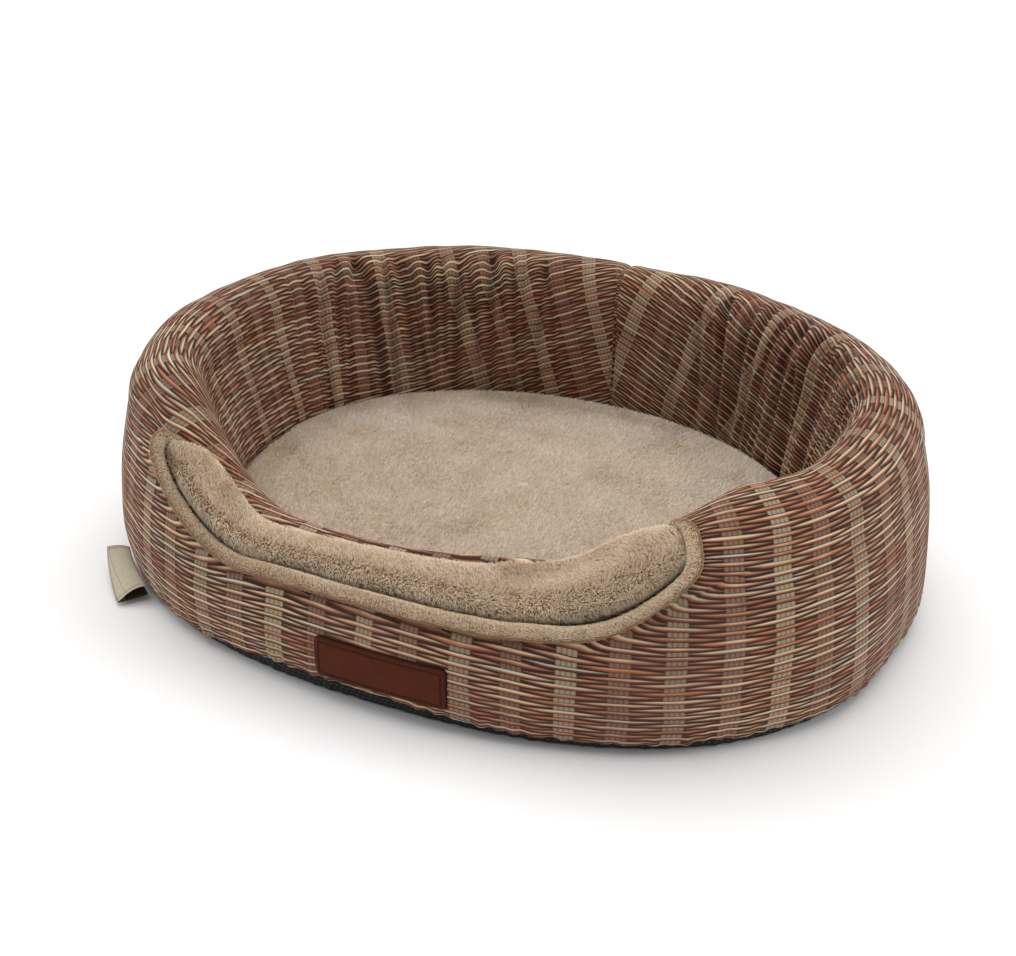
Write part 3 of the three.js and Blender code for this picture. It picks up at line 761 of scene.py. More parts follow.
def inner_folds():
    """Gathers of the inner wall: angle, slant, depth, width, and the stations each spans."""
    own = np.random.default_rng(5)
    folds = []
    degrees = -176.0
    while degrees < 176:
        strong = max(
            between(degrees, -168.0, -150.0, -128.0, -100.0),
            between(degrees, 96.0, 118.0, 150.0, 162.0),
        )
        side = between(abs(degrees), 58.0, 90.0, 164.0, 174.0)
        depth = (1.8 + 7.2 * strong) * own.uniform(0.4, 1.2) * side
        if depth > 0.15:
            folds.append(
                (
                    degrees,
                    own.normal(0, 2.2),
                    depth,
                    own.uniform(1.7, 2.6) + 0.24 * depth,
                    own.uniform(2.0, 2.35) - 0.15 * strong,
                    own.uniform(3.3, 4.1),
                )
            )
        degrees += own.uniform(2.6, 4.6) - 0.6 * strong
    return folds


def fold_relief(phi, station):
    """How far the gathers sink and lift the inner wall, in millimetres."""
    degrees = np.degrees(phi)
    relief = np.zeros_like(phi)
    for middle, slant, depth, width, start, end in inner_folds():
        line = middle + slant * (station - 3)
        away = (degrees - line) * PI / 180 * INNER_RADIUS
        fade = smooth(station, start, start + 0.5) * (1 - 0.5 * smooth(station, end - 0.4, end))
        relief += fade * depth * (0.3 * np.exp(-((away / 9) ** 2)) - np.exp(-((away / width) ** 2)))
    return relief


def wall_stations(phi):
    """Stations of the cover from its hem over the rim to the inner foot, one row for each angle."""
    hem = (hem_height(phi) / (crest(phi) - RIM_RISE))[:, None]
    foot = inner_station(phi, np.full_like(phi, INNER_FOOT))[:, None]
    bottom = inner_station(phi, np.full_like(phi, 2.5))[:, None]
    parts = [
        hem + (1 - hem) * np.linspace(0, 1, 30)[None, :-1] ** 1.15,
        np.ones_like(hem) + np.linspace(0, 1, 24)[None, :-1],
        2 * np.ones_like(hem) + np.linspace(0, 1, 20)[None, :-1],
        3 + (foot - 3) * np.linspace(0, 1, 26)[None, :-1],
        foot + (bottom - foot) * np.linspace(0, 1, 8)[None, :],
    ]
    return np.concatenate(parts, 1)


def panel_gap(reach, surface):
    """Distance outside the panel's edge in millimetres, and how far it points down the section."""
    along = np.linalg.norm(np.gradient(surface, axis=0), axis=-1)
    across = np.linalg.norm(np.gradient(surface, axis=1), axis=-1)
    slope_along = np.gradient(reach, axis=0) / np.maximum(along, 0.05)
    slope_across = np.gradient(reach, axis=1) / np.maximum(across, 0.05)
    slope = np.hypot(slope_along, slope_across)
    return (reach - 1) / np.maximum(slope, 1e-4), slope_across / np.maximum(slope, 1e-6)


def seam_share(away):
    """1 near the back seam, where the strip's print is cut at a slant, fading to 0."""
    return 1 - smooth(away, 90.0, 290.0)


def slanted_print(u, v):
    """Turns the print near the back seam, as on a strip that was cut in a curve."""
    slope = 0.36
    away = OUTLINE / 2 - np.abs(u)
    steps = np.linspace(0, OUTLINE / 2, 800)
    drop = np.concatenate([[0], np.cumsum(slope * seam_share(steps)[1:] * np.diff(steps))])
    shifted = v - np.interp(away, steps, drop)
    toward = -np.sign(u) * slope * seam_share(away) * (v - 150.0)
    return u + toward, shifted


def cover_relief(phi, station, u, v, gap, folds):
    """How far the cover stands out from the plain wall, in millimetres."""
    relief = folds + lip(phi, station)
    relief += 0.9 * waves(u, v, 120.0, 1) + 0.35 * waves(u, v * 0.4, 34.0, 2)
    outer = 1 - smooth(station, 1.0, 1.6)
    wave = waves(u, v * 0.2, 11.0, 3, 5) + 0.7 * waves(u, v * 0.15, 19.0, 4, 5)
    relief += outer * 0.85 * wave * np.exp(-v / 9.0)
    near_label = np.exp(-(((u - arc_at(LABEL_ANGLE)) / 32.0) ** 4) - (v / 20.0) ** 2)
    relief *= 1 - 0.92 * near_label
    close = np.clip(1 - np.abs(gap) / 14.0, 0, 1) ** 1.5
    relief += 0.5 * waves(u + v, v - u, 9.0, 6, 5) * close * (gap > 0)
    relief -= 1.6 * np.exp(-np.maximum(gap, 0) / 3.5)
    relief -= 3.2 * smooth(-gap, 0.0, 6.0)
    away = OUTLINE / 2 - np.abs(u)
    relief -= 3.0 * np.exp(-((away / 2.6) ** 1.3)) * smooth(station, 0.2, 0.5)
    return relief - 1.0 * np.exp(-((v / 1.2) ** 2))


def lane_places(faces, u, v, lanes=3):
    """Texture places that lay the long strip in a few lanes, one above the other."""
    share = (u + OUTLINE / 2) / OUTLINE * lanes
    lane = np.minimum(np.floor(share.reshape(-1)[faces].mean(1) + 1e-6), lanes - 1)
    across = (share.reshape(-1)[faces] - lane[:, None]) * 0.96 + 0.02
    up = (lane[:, None] + 0.03 + 0.94 * (v / v.max()).reshape(-1)[faces]) / lanes
    return np.stack([across, up], -1).reshape(-1, 2)


def wall_cover():
    """The printed strip from the hem over the rim to the inner foot, cut out under the roll."""
    columns = 881
    phi = np.interp(np.linspace(0, OUTLINE, columns), arc_length, arc_phi)
    station = wall_stations(phi)
    phi = np.broadcast_to(phi[:, None], station.shape)
    plain = wall(phi, station)
    reach = panel_reach(phi, station)
    gap, down = panel_gap(reach, plain)
    u = np.broadcast_to(arc_at(phi[:, 0])[:, None], station.shape)
    steps = np.linalg.norm(np.diff(plain, axis=1), axis=-1)
    v = np.concatenate([np.zeros((columns, 1)), np.cumsum(steps, 1)], 1)

    folds = fold_relief(phi, station)
    # Painted shade for the print: strongest in the gathers' creases, with a band along the edge under the
    # roll.
    crease_shade = np.clip(-folds / 7.0, 0, 1) + 0.35 * np.exp(-((gap / 3.0) ** 2)) * (gap > -1)
    points = wall(phi, station, cover_relief(phi, station, u, v, gap, folds))
    hem = points[:, 0, 2] + 0.6 * waves(u[:, 0], 0.0, 15.0, 8, 4)
    points[:, 0, 2] = np.maximum(hem, 1.2)

    bent = v + 6.0 * down * np.exp(-np.maximum(gap, 0) / 12.0)
    ripple = folds * 0.55 * smooth(station, 2.0, 2.6)
    print_u, print_v = slanted_print(u, bent + ripple)
    faces = grid_faces(columns, station.shape[1])
    faces = faces[(reach.reshape(-1)[faces] > 0.82).any(1)]
    pairs = np.stack([print_u, print_v], -1).reshape(-1, 2)[faces.ravel()]
    uvs = {"print": pairs, "OFBake": lane_places(faces, u, v)}
    made = make("wall_cover_fabric", points, faces, [wicker], uvs, {"crease_shade": crease_shade})
    add_piece(made, "bed", ["wall_cover"])


def wall_foam():
    """The foam ring under the cover, deep enough for the gathers to sink in."""
    columns = 220
    phi = np.linspace(-PI, PI, columns, endpoint=False)
    station = wall_stations(phi)[:, ::3]
    phi = np.broadcast_to(phi[:, None], station.shape)
    inside = smooth(panel_reach(phi, station), 1.15, 0.95)
    points = wall(phi, station, -FOAM_DEPTH - 4.0 * inside)
    points[..., 2] = np.maximum(points[..., 2], 2.4)
    faces = grid_faces(columns, station.shape[1], close_rows=True)
    last = station.shape[1] - 1
    ring = np.arange(columns) * station.shape[1]
    after = np.roll(ring, -1)
    bottom = np.stack([ring, ring + last, after + last, after], -1)
    made = make("wall_foam_ring", points, np.concatenate([faces, bottom]), [foam])
    add_piece(made, "bed", ["wall_foam"])


def back_seam():
    """The narrow ridge of the seam allowance inside the back, with its stitches' small dips."""
    rows, columns = 150, 9
    station = np.linspace(2.1, float(inner_station(np.array(PI), np.array(30.0))), rows)[:, None]
    side = np.linspace(-1, 1, columns)[None, :]
    width = 1.0 + 0.25 * np.sin(np.arange(rows) * 0.5)[:, None]
    phi = PI + side * width / 160.0
    height = 0.5 * np.maximum(1 - side**2, 0) ** 0.6 - 2.9
    height = height - 0.35 * (np.arange(rows)[:, None] % 5 == 0)
    points = wall(phi, np.broadcast_to(station, phi.shape), height)
    faces = grid_faces(rows, columns)
    lay = np.stack(np.broadcast_arrays(side * 2.6 + 17.5, station * 60.0), -1)
    pairs = lay.reshape(-1, 2)[faces.ravel()]
    made = make("back_seam_ridge", points, faces, [wicker], {"print": pairs})
    solid = made.modifiers.new("thickness", "SOLIDIFY")
    solid.thickness = 0.5 * MM
    add_piece(made, "bed", ["back_seam_tape"])


# --- Base and floor ---


def base_fabric():
    """The black base: flat underneath, turned up behind the hem in small puckers."""
    columns, rings = 720, 16
    phi = np.linspace(-PI, PI, columns, endpoint=False)
    point, normal = plan(phi)
    arc = arc_at(phi)
    pucker = waves(arc, 0.0, 12.0, 3, 5)
    sides = [(h, section(phi, h / (crest(phi) - RIM_RISE))[0] + 2.6) for h in (16, 12.5, 9, 6, 3.4)]
    rows = []
    for height, inset in sides + [(1.4, 8.2), (0.35, 11.7), (0.0, 17.2)]:
        lift = np.minimum(height, 1.0) * 0.55 * pucker
        flat = point - normal * (inset - lift)[:, None]
        rows.append(np.concatenate([flat, np.full((columns, 1), float(height))], 1))
    edge = rows[-1]
    for ring in range(1, rings):
        shrink = 1 - (ring / rings) ** 0.9
        dent = 0.5 * (1 + waves(edge[:, 0] * shrink, edge[:, 1] * shrink, 90.0, 9)) * min(1, ring / 3)
        rows.append(np.concatenate([edge[:, :2] * shrink, (0.4 * np.maximum(dent, 0))[:, None]], 1))
    points = np.concatenate(rows)
    faces = grid_faces(len(rows), columns, close_columns=True).tolist()
    start = (len(rows) - 1) * columns
    faces += [[start + (i + 1) % columns, start + i, len(points)] for i in range(columns)]
    points = np.concatenate([points, [[0, 0, 0.3]]])
    heights = (16, 12.5, 9, 6, 3.4, 1.4)
    wrapped = np.concatenate([np.stack([arc, np.full(columns, h)], 1) for h in heights])
    lay = points[:, :2].copy()
    lay[: len(wrapped)] = wrapped
    pairs = []
    for face in faces:
        corner = lay[face].copy()
        if max(face) >= len(wrapped):
            corner = points[face, :2]
        elif np.ptp(corner[:, 0]) > 100:
            corner[corner[:, 0] < 0, 0] += OUTLINE
        pairs.append(corner)
    made = make("base_cloth_shell", points, faces, [black_cloth], {"cloth": np.concatenate(pairs)})
    add_piece(made, "bed", ["base_fabric"])


def disc(profile, columns):
    """Rings round the plan from (extra inset, height) pairs measured from the inner foot."""
    phi = np.linspace(-PI, PI, columns, endpoint=False)
    point, normal = plan(phi)
    rings = []
    for inset, height in profile:
        flat = point - normal * (foot_inset(phi) + inset)[:, None]
        rings.append(np.concatenate([flat, np.full((columns, 1), float(height))], 1))
    return rings


def fill_in(rings, count, shape):
    """Rings from the last one to the middle, raised by shape(share, flat)."""
    edge = rings[-1]
    for k in range(1, count):
        share = 1 - k / count
        flat = edge[:, :2] * share
        height = edge[:, 2] + shape(share, flat)
        rings.append(np.concatenate([flat, height[:, None]], 1))
    return rings


def closed_faces(rings, columns):
    """Quads between rings, and a fan to a last middle point."""
    faces = grid_faces(len(rings), columns, close_columns=True).tolist()
    start, last = (len(rings) - 1) * columns, len(rings) * columns
    return faces + [[start + i, last, start + (i + 1) % columns] for i in range(columns)]


def cloth_disc(name, rings, columns, middle, facing_down=False):
    """Plain lining cloth from its rings and the height of its middle point."""
    points = np.concatenate([*rings, [[0, 0, middle]]])
    faces = closed_faces(rings, columns)
    if facing_down:
        faces = [face[::-1] for face in faces]
    return make(name, points, faces, [lining_cloth], {"cloth": corner_places(points[:, :2], faces)})


def floor_lining():
    """The cloth over the floor foam, with a few soft wrinkles."""
    columns = 180

    def shape(share, flat):
        x, y = flat.T
        wrinkle = waves(x, y, 70.0, 21) + 0.5 * waves(x, y * 0.3, 26.0, 22)
        return 0.25 + 0.2 * wrinkle * (1 - share**6)

    rings = fill_in(disc([(0.6, 22.0), (0.5, 22.9)], columns), 60, shape)
    made = cloth_disc("floor_lining_cloth", rings, columns, 23.1)
    add_piece(made, "bed", ["floor_lining"])


# --- Mat ---


def mat_swell(share, flat):
    """The mat is plump: it rises from its rolled edge and has a few soft hollows."""
    crown = 3.4 * (1 - share**3.0)
    x, y = flat.T
    hollow = 0.9 * waves(x, y, 150.0, 31) + 0.35 * waves(x, y, 48.0, 32)
    return crown + hollow * (1 - share**8)


def mat():
    """The plush top cover, with a rolled edge, and its short pile."""
    columns, roll_in, roll_down = 300, 8.5, 9
    top = MAT_TOP - 1.2
    edge = [(2.2, MAT_BOTTOM + 1.6), (1.0, MAT_BOTTOM + 3.5), (0.6, MAT_BOTTOM + 8), (0.7, top - roll_down)]
    for turn in (20, 40, 60, 78, 90):
        angle = math.radians(turn)
        edge.append((0.7 + roll_in * (1 - math.cos(angle)), top - roll_down + roll_down * math.sin(angle)))
    rings = fill_in(disc(edge, columns), 46, mat_swell)
    points = np.concatenate([*rings, [rings[-1].mean(0)]])
    made = make("mat_top_skin", points, closed_faces(rings, columns), [mat_ground])
    add_piece(made, "mat", ["mat_top_cover"])

    grid = np.stack(rings, 1)
    grid = np.concatenate([grid, grid[:1]], 0)
    weights = np.ones((grid.shape[0] - 1, grid.shape[1] - 1))
    weights[:, :3] = 0.3
    weights[:, 5:12] = 1.6
    root, normal = scatter(grid[:, ::-1], 190000, weights[:, ::-1])[:2]
    away = normal[:, 2:] + 0.2 * (normal[:, :2] * root[:, :2]).sum(1, keepdims=True) / 200
    normal = normal * np.where(away < 0, -1, 1)
    brush = 0.7 + 0.45 * waves(root[:, 0], root[:, 1] * 1.6, 130.0, 41)
    brush += 0.3 * waves(root[:, 0], root[:, 1], 46.0, 42) + rng.normal(0, 0.3, len(root))
    lean = np.stack([np.cos(brush), np.sin(brush), 0 * brush], -1)
    lean -= normal * (lean * normal).sum(1, keepdims=True)
    lean /= np.linalg.norm(lean, axis=1, keepdims=True)
    streak = waves(root[:, 0] * 0.35, root[:, 1], 30.0, 43) * 0.5
    streak += waves(root[:, 0], root[:, 1], 95.0, 44) * 0.5
    pile = blades("mat_top_pile", (root, normal), lean, 2.7, 0.62, mat_pile, {"streak": streak})
    add_piece(pile, "mat", ["mat_top_cover"])


def mat_underside():
    """The mat's plain lower cloth, drawn in a little at the seam."""
    columns = 240

    def shape(share, flat):
        x, y = flat.T
        wrinkle = waves(x, y, 60.0, 51) + waves(x * 0.4, y, 22.0, 52)
        return -0.75 + 0.2 * wrinkle * (1 - share**8)

    seam = [(2.4, MAT_BOTTOM + 1.9), (2.8, MAT_BOTTOM + 1.0)]
    rings = fill_in(disc(seam, columns), 50, shape)
    made = cloth_disc("mat_lower_cloth", rings, columns, MAT_BOTTOM + 0.3, facing_down=True)
    add_piece(made, "mat", ["mat_underside"])


# --- Entrance roll and flange ---


def roll_grid():
    """The roll's surface: steep out of the groove behind the flange, full, then down to its seam."""
    turn = np.radians(np.linspace(-88.5, 88.5, 240))[:, None]
    share = (np.linspace(0, 1, 46) ** 1.1)[None, :]
    front_phi, front = panel_edge(turn, FLANGE_WIDTH - 2.0, 0.0)
    back_phi, back = panel_edge(PI - turn, FLANGE_WIDTH - 2.0, 0.0)
    phi = front_phi + (back_phi - front_phi) * share
    station = front + (back - front) * share
    plain = wall(phi, station)
    width = np.linalg.norm(np.diff(plain, axis=1), axis=-1).sum(1)[:, None]
    out, back_off = share * width, (1 - share) * width
    low = smooth(np.degrees(phi), -26.0, -6.0)
    full = (8.5 - 2.6 * low) * (1 - np.exp(-width / 20.0))
    ends = smooth(turn_of(phi - PANEL_MIDDLE), 24.0, 38.0)
    rise = np.sqrt(1 - (1 - np.minimum(out / (11.0 + 4.0 * ends), 1)) ** 2)
    fall = np.sqrt(1 - (1 - np.minimum(back_off / 13.0, 1)) ** 2)
    groove = (5.0 + 6.5 * ends) * np.exp(-((out / (3.4 + 1.8 * ends)) ** 2)) * smooth(width, 2.0, 12.0)
    arc = arc_at(np.clip(phi, -PI, PI))
    uneven = 0.8 * waves(arc, 0.0, 60.0, 61) + 0.5 * waves(arc, out, 24.0, 62)
    height = full * rise * fall - groove + uneven * rise * fall - 0.6 + lip(phi, station)
    # Painted shade: hollow marks the groove behind the flange, which the materials darken.
    hollow = np.exp(-((out / (5.5 + 2.5 * ends)) ** 2)) * (0.5 + 0.3 * ends)
    core = np.stack([wall(phi, station, height - 2.2), wall(phi, station, -CORE_DEPTH)])
    return wall(phi, station, height), share, hollow, core


def roll():
    """The plush roll, the fibre inside it and its long pile, brushed two ways from a parting."""
    grid, share, hollow, core = roll_grid()
    rows, columns = grid.shape[:2]
    made = make("roll_skin", grid, grid_faces(rows, columns), [roll_ground], None, {"hollow": hollow})
    add_piece(made, "bed", ["roll_cover"])
    made = make("roll_fibre_core", core, shell_faces(rows, columns), [fibre])
    add_piece(made, "bed", ["roll_filling"])

    weights = np.broadcast_to(smooth(share, -0.1, 0.12), (rows, columns))[:-1, :-1] + 0.35
    root, normal, along, across, place = scatter(grid, 64000, weights)
    phi = np.arctan2(root[:, 0], -root[:, 1])
    flat, out = plan(phi)
    heart = np.concatenate([flat - out * 38.0, (crest(phi) - RIM_RISE - 6)[:, None]], 1)
    normal = faced(normal, root - heart)
    down = 1 - smooth(place[:, 1], 0.34, 0.62)
    angle = 2.35 - 2.9 * down + 0.55 * waves(root[:, 0], root[:, 2] * 2, 40.0, 63)
    angle += 0.3 * waves(root[:, 0], root[:, 1] * 2, 9.0, 64) + rng.normal(0, 0.3, len(root))
    lean = along * np.cos(angle)[:, None] + across * np.sin(angle)[:, None]
    length = 1.5 + 1.7 * smooth(place[:, 1], 0.0, 0.22)
    i, j = (place * [rows - 1, columns - 1]).astype(int).T
    # The strands carry the groove's painted shade as well.
    shade = {"hollow": np.repeat(hollow[i, j], 5)}
    places = (root, normal)
    pile = strands("roll_pile_strands", places, lean, length, 0.42, roll_pile, shade, (0.5, 1.1))
    add_piece(pile, "bed", ["roll_cover"])


def rim_of(rows, columns):
    """Indices round the edge of a grid of points."""
    ring = list(range(columns)) + [i * columns + columns - 1 for i in range(1, rows)]
    ring += [(rows - 1) * columns + j for j in range(columns - 2, -1, -1)]
    return np.array(ring + [i * columns for i in range(rows - 2, 0, -1)])


def shell_faces(rows, columns):
    """Faces of a closed shell from two grids of points, the outer one first."""
    faces, count, ring = grid_faces(rows, columns), rows * columns, rim_of(rows, columns)
    after = np.roll(ring, -1)
    sides = np.stack([ring, after, after + count, ring + count], -1)
    return np.concatenate([faces, faces[:, ::-1] + count, sides])


def faced(normals, away):
    """Normals turned to the side that away points to."""
    return normals * np.where((away * normals).sum(1, keepdims=True) < 0, -1, 1)


def flange_grid():
    """The folded plush border: a soft tube along the panel's edge that curls in over both tips."""
    turn = np.radians(np.linspace(-116, 116, 440))[:, None]
    around = np.linspace(0, 2 * PI, 25)[None, :]
    thin = smooth(116 - np.degrees(np.abs(turn)), 0.0, 30.0)
    half = (FLANGE_WIDTH - 2.4) / 2 * (0.3 + 0.7 * thin)
    inset = half * (1 - np.cos(around))
    height = 0.8 + 4.3 * np.sin(around) * (0.3 + 0.7 * thin)
    phi, station = panel_edge(turn + 0 * inset, inset, inset)
    arc = turn * 190.0
    height = height + 0.45 * waves(arc, around * 4, 30.0, 71) + 0.3 * waves(arc, around * 3, 11.0, 72)
    return wall(phi, station, height), around


def flange():
    """The plush border and its pile, which lies across it."""
    grid, around = flange_grid()
    rows, columns = grid.shape[:2]
    made = make("flange_skin", grid, grid_faces(rows, columns), [roll_ground])
    add_piece(made, "bed", ["roll_flange"])
    shown = smooth(np.sin(around + 0.3), -0.5, 0.0)
    weights = np.broadcast_to(shown, (rows, columns))[:-1, :-1] + 0.02
    root, normal, along, across, place = scatter(grid, 40000, weights)
    centre = grid.mean(1)[np.minimum((place[:, 0] * (rows - 1)).astype(int), rows - 1)]
    normal = faced(normal, root - centre)
    angle = -1.9 + 0.35 * waves(root[:, 0], root[:, 2], 16.0, 73) + rng.normal(0, 0.2, len(root))
    lean = along * np.cos(angle)[:, None] - across * np.sin(angle)[:, None]
    places = (root, normal)
    pile = strands("flange_pile_strands", places, lean, 1.8, 0.42, roll_pile, {}, (0.7, 1.25))
    add_piece(pile, "bed", ["roll_flange"])


def bead(start, end, radius, sides=6):
    """A short thread stitch as a slim spindle; start and end hold one point for each stitch."""
    axis = end - start
    length = np.linalg.norm(axis, axis=-1, keepdims=True)
    axis = axis / length
    up = np.cross(axis, [0.3, 0.2, 0.9])
    up /= np.linalg.norm(up, axis=-1, keepdims=True)
    side = np.cross(axis, up)
    rings = []
    for share, scale in ((0.0, 0.35), (0.2, 0.9), (0.8, 0.9), (1.0, 0.35)):
        for k in range(sides):
            turn = 2 * PI * k / sides
            spoke = math.cos(turn) * up + math.sin(turn) * side
            rings.append(start + axis * length * share + radius * scale * spoke)
    points = np.stack(rings, 1)
    one = grid_faces(4, sides, close_columns=True).tolist()
    one += [list(range(sides)), list(range(3 * sides, 4 * sides))[::-1]]
    faces = []
    for i in range(len(start)):
        faces += [[corner + i * 4 * sides for corner in face] for face in one]
    return points.reshape(-1, 3), faces


def serging():
    """Zigzag overlock stitches along the flange's outer edge."""
    turn = np.radians(np.linspace(-93, 93, 330))
    start = wall(*panel_edge(turn, 1.6, 1.6), 3.0)
    end = wall(*panel_edge(turn + 0.004, -0.9, -0.9), 0.3)
    points, faces = bead(start, end, 0.33)
    made = make("flange_serging", points, faces, [pale_thread])
    add_piece(made, "bed")


# --- Patch and label ---


def on_front(x, z, proud):
    """A point of the outer wall, measured from the patch's middle."""
    x = PATCH_OFFSET + x
    y = -HALF_DEPTH * (1 - np.abs(x / HALF_LENGTH) ** FRONT_POWER) ** (1 / FRONT_POWER)
    phi = np.arctan2(x, -y)
    return wall(phi, outer_station(phi, PATCH_BOTTOM + PATCH_HEIGHT / 2 + z), proud)


def patch():
    """A rounded leather patch with a slightly domed face and a cut edge."""
    half_x, half_z = PATCH_WIDTH / 2, PATCH_HEIGHT / 2
    x, z = np.meshgrid(np.linspace(-1, 1, 89) * half_x, np.linspace(-1, 1, 33) * half_z, indexing="ij")
    over_x, over_z = np.abs(x) - (half_x - PATCH_CORNER), np.abs(z) - (half_z - PATCH_CORNER)
    corner = (over_x > 0) & (over_z > 0)
    square = np.maximum(over_x, over_z)
    scale = np.where(corner, square / np.maximum(np.hypot(over_x, over_z), 1e-6), 1.0)
    x = np.where(corner, np.sign(x) * (half_x - PATCH_CORNER + over_x * scale), x)
    z = np.where(corner, np.sign(z) * (half_z - PATCH_CORNER + over_z * scale), z)
    flat = np.minimum(half_x - np.abs(x), half_z - np.abs(z))
    edge = np.where(corner, PATCH_CORNER - square, flat)
    dome = PATCH_THICKNESS + 0.3 - 0.9 * np.exp(-np.maximum(edge, 0) / 0.7)
    dome -= 0.28 * np.exp(-(((edge - PATCH_BORDER) / 0.6) ** 2))
    points = np.stack([on_front(x, z, dome), on_front(x, z, -0.3)])
    faces = shell_faces(*x.shape).tolist()
    lay = np.tile(np.stack([x, z], -1).reshape(-1, 2), (2, 1))
    values = {"edge": np.concatenate([edge.ravel(), 0 * edge.ravel()])}
    uvs = {"cloth": corner_places(lay, faces)}
    made = make("leather_patch_skin", points, faces, [leather], uvs, values)
    add_piece(made, "bed", ["leather_patch"])


def patch_stitches():
    """Single stitches in the patch's border line."""
    half_x, half_z = PATCH_WIDTH / 2 - PATCH_BORDER, PATCH_HEIGHT / 2 - PATCH_BORDER
    corners = np.array([[-half_x, -half_z], [half_x, -half_z], [half_x, half_z], [-half_x, half_z]])
    starts, ends = [], []
    for a, b in zip(corners, np.roll(corners, -1, 0)):
        count = round(np.linalg.norm(b - a) / 3.1)
        for k in range(count):
            starts.append(a + (b - a) * (k + 0.12) / count)
            ends.append(a + (b - a) * (k + 0.86) / count)
    start, end = (on_front(*np.array(row).T, PATCH_THICKNESS + 0.12) for row in (starts, ends))
    points, faces = bead(start, end, 0.28)
    made = make("patch_stitch_row", points, faces, [dark_thread])
    add_piece(made, "bed", ["patch_stitching"])


def label_section(share, steps):
    """Closed outline of the folded ribbon as (reach, height), at a share of its width."""
    reach = 20.0 - 5.5 * share
    fold = 3.4 + 12.6 * share**1.2
    top, low = 10.8 + 1.3 * share, 4.2 + 4.6 * share
    upper, lower = [], []
    for k in np.linspace(0, 1, steps):
        bulge = math.sin(PI * k)
        upper.append((reach * k, top + (fold - top) * k**1.5 + 2.2 * bulge * (1 - 0.4 * k)))
        lower.append((reach * k, low + (fold - 0.9 - low) * k**1.3 - 0.5 * bulge))
    line = np.array(upper[:-1] + [(reach + 0.7, fold - 0.4)] + lower[::-1][1:])
    tangent = np.gradient(line, axis=0)
    tangent /= np.linalg.norm(tangent, axis=1, keepdims=True)
    inward = np.stack([tangent[:, 1], -tangent[:, 0]], 1) * LABEL_THICKNESS
    inward[-1, 0] = 0
    return np.concatenate([line, (line + inward)[::-1]])


def label():
    """The folded ribbon: both ends in the hem seam, its fold raised at the rear and low in front."""
    phi = np.array(LABEL_ANGLE)
    root = wall(phi, outer_station(phi, HEM_HEIGHT)) * [1, 1, 0]
    normal, up = np.append(plan(phi)[1], 0), np.array([0, 0, 1.0])
    along = np.cross(normal, up)
    steps, side_steps = 24, 12
    loops, lays = [], []
    for share in np.linspace(0, 1, steps):
        at = (share - 0.5) * LABEL_WIDTH
        outline = label_section(share, side_steps)
        straight = root + normal * 0.7 + along * at
        curved = wall(phi - at / 215.0, outer_station(phi, HEM_HEIGHT)) * [1, 1, 0]
        base = 0.65 * curved + 0.35 * straight
        lift = outline[:, 1:] + 0.15 * (1.3 * math.sin(PI * share))
        loops.append(base + normal * (outline[:, :1] + 1.3) + up * lift)
        length = np.concatenate([[0], np.cumsum(np.linalg.norm(np.diff(outline, axis=0), axis=1))])
        lays.append(np.stack([np.full(len(length), share * LABEL_WIDTH), length], 1))
    count = len(loops[0])
    faces = grid_faces(steps, count, close_columns=True)
    column = faces[:, 0] % count
    outer = count // 2
    # The dark brown faces are painted shade: the lower layer's underside and the loop's inside away from the
    # fold.
    face, lining, back = 0, 1, 2
    indices = np.where(column < outer + side_steps - 4, back, lining)
    indices = np.where(column < side_steps, face, indices)
    points = np.concatenate(loops)
    points[:, 2] = np.maximum(points[:, 2], 0.6)
    ends = [list(range(count))[::-1], list(range((steps - 1) * count, steps * count))]
    faces = faces.tolist() + ends
    indices = np.concatenate([indices, [back, back]])
    uvs = {"cloth": corner_places(np.concatenate(lays), faces)}
    materials = [label_face, label_inside, label_shaded_back]
    made = make("label_ribbon", points, faces, materials, uvs, None, indices)
    add_piece(made, "label", ["folded_label"])


# --- Assembly ---

wall_cover()
wall_foam()
back_seam()
base_fabric()
floor_lining()
mat()
mat_underside()
roll()
flange()
serging()
patch()
patch_stitches()
label()

for node, material in (("floor_foam", foam), ("mat_filling", fibre)):
    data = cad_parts[node].data
    data.materials.clear()
    data.materials.append(material)


# --- Stage ---


def floor_material():
    g = Graph("studio_floor", roughness=0.6, specular=0.2)
    return g.finish(tint(250, 250, 250))


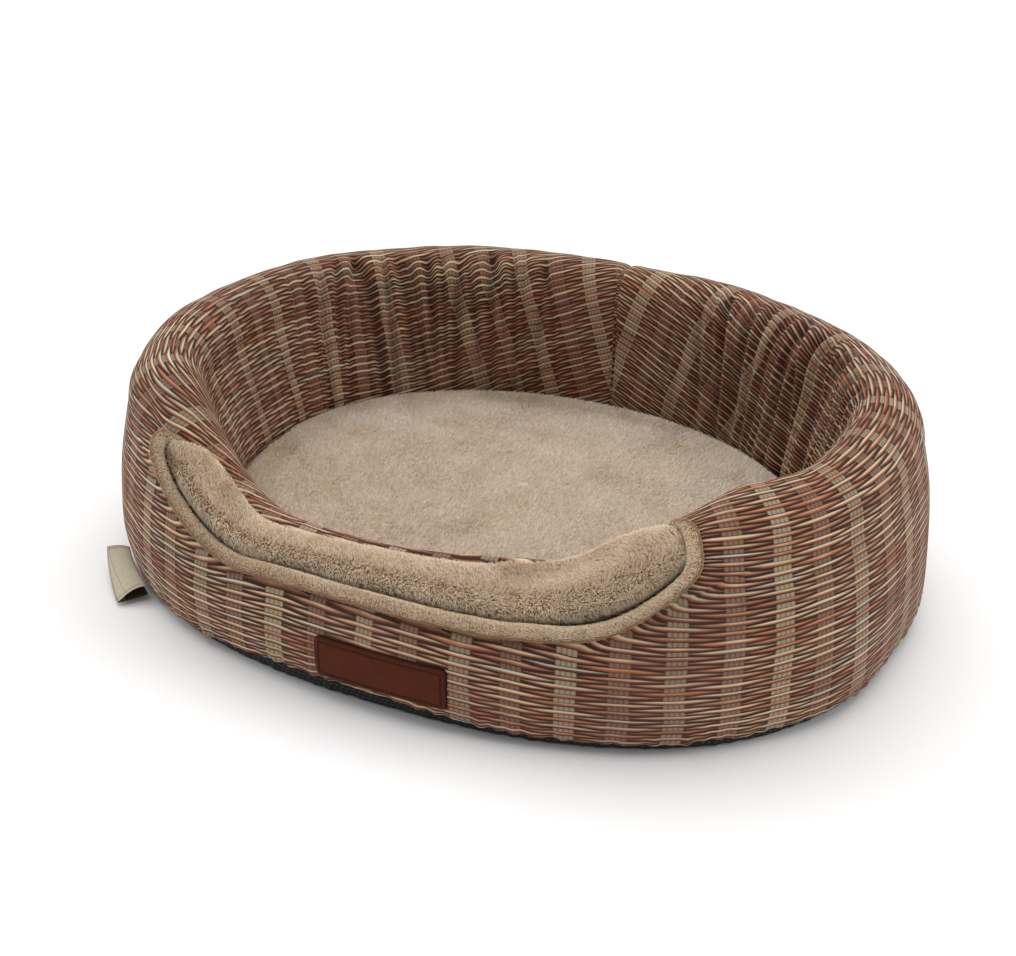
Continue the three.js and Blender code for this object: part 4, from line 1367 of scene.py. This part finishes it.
floor_half, floor_drop = 6, 0.0004
corners = [(x * floor_half, y * floor_half, 0) for x, y in ((-1, -1), (1, -1), (1, 1), (-1, 1))]
floor_mesh = bpy.data.meshes.new("studio_floor")
floor_mesh.from_pydata(corners, [], [(0, 1, 2, 3)])
floor_mesh.materials.append(floor_material())
floor = put_in_scene("studio_floor", floor_mesh)
floor.location.z = -floor_drop

bpy.context.scene.view_settings.view_transform = "Standard"
world = bpy.data.worlds.new("studio")
world.use_nodes = True
background = world.node_tree.nodes["Background"]
background.inputs["Color"].default_value = (1.0, 1.0, 1.0, 1.0)
background.inputs["Strength"].default_value = 0.46
bpy.context.scene.world = world


def shine(made, direction):
    """Turns a light towards a direction."""
    made.rotation_euler = direction.to_track_quat("-Z", "Y").to_euler()


def area_light(name, position, target, size, power):
    data = bpy.data.lights.new(name, "AREA")
    data.shape = "RECTANGLE"
    data.size, data.size_y = size
    data.energy = power
    made = put_in_scene(name, data)
    made.location = position
    shine(made, Vector(target) - Vector(position))


sun = bpy.data.lights.new("overhead_light", "SUN")
sun.energy = 1.95
sun.angle = math.radians(70)
shine(put_in_scene("overhead_light", sun), Vector((0.12, -0.3, -1)))
area_light("left_light", (-1.9, -0.5, 0.9), (0, 0, 0.05), (1.0, 1.2), 9.0)
area_light("right_light", (1.8, 0.3, 1.0), (0, 0, 0.05), (1.0, 1.2), 8.0)

camera_data = bpy.data.cameras.new("camera")
camera_data.lens = 58.45
camera_data.sensor_width = 36
camera_data.shift_x = -0.0135
camera_data.shift_y = 0.0678
camera = put_in_scene("camera", camera_data)
azimuth, elevation, distance = math.radians(25.67), math.radians(30.42), 1.155
across, back = math.sin(azimuth), -math.cos(azimuth)
level = math.cos(elevation)
direction = Vector((across * level, back * level, math.sin(elevation)))
camera_twist = Matrix.Rotation(0.0073, 3, "Z")
camera.location = direction * distance
camera.rotation_euler = ((-direction).to_track_quat("-Z", "Y").to_matrix() @ camera_twist).to_euler()
bpy.context.scene.camera = camera
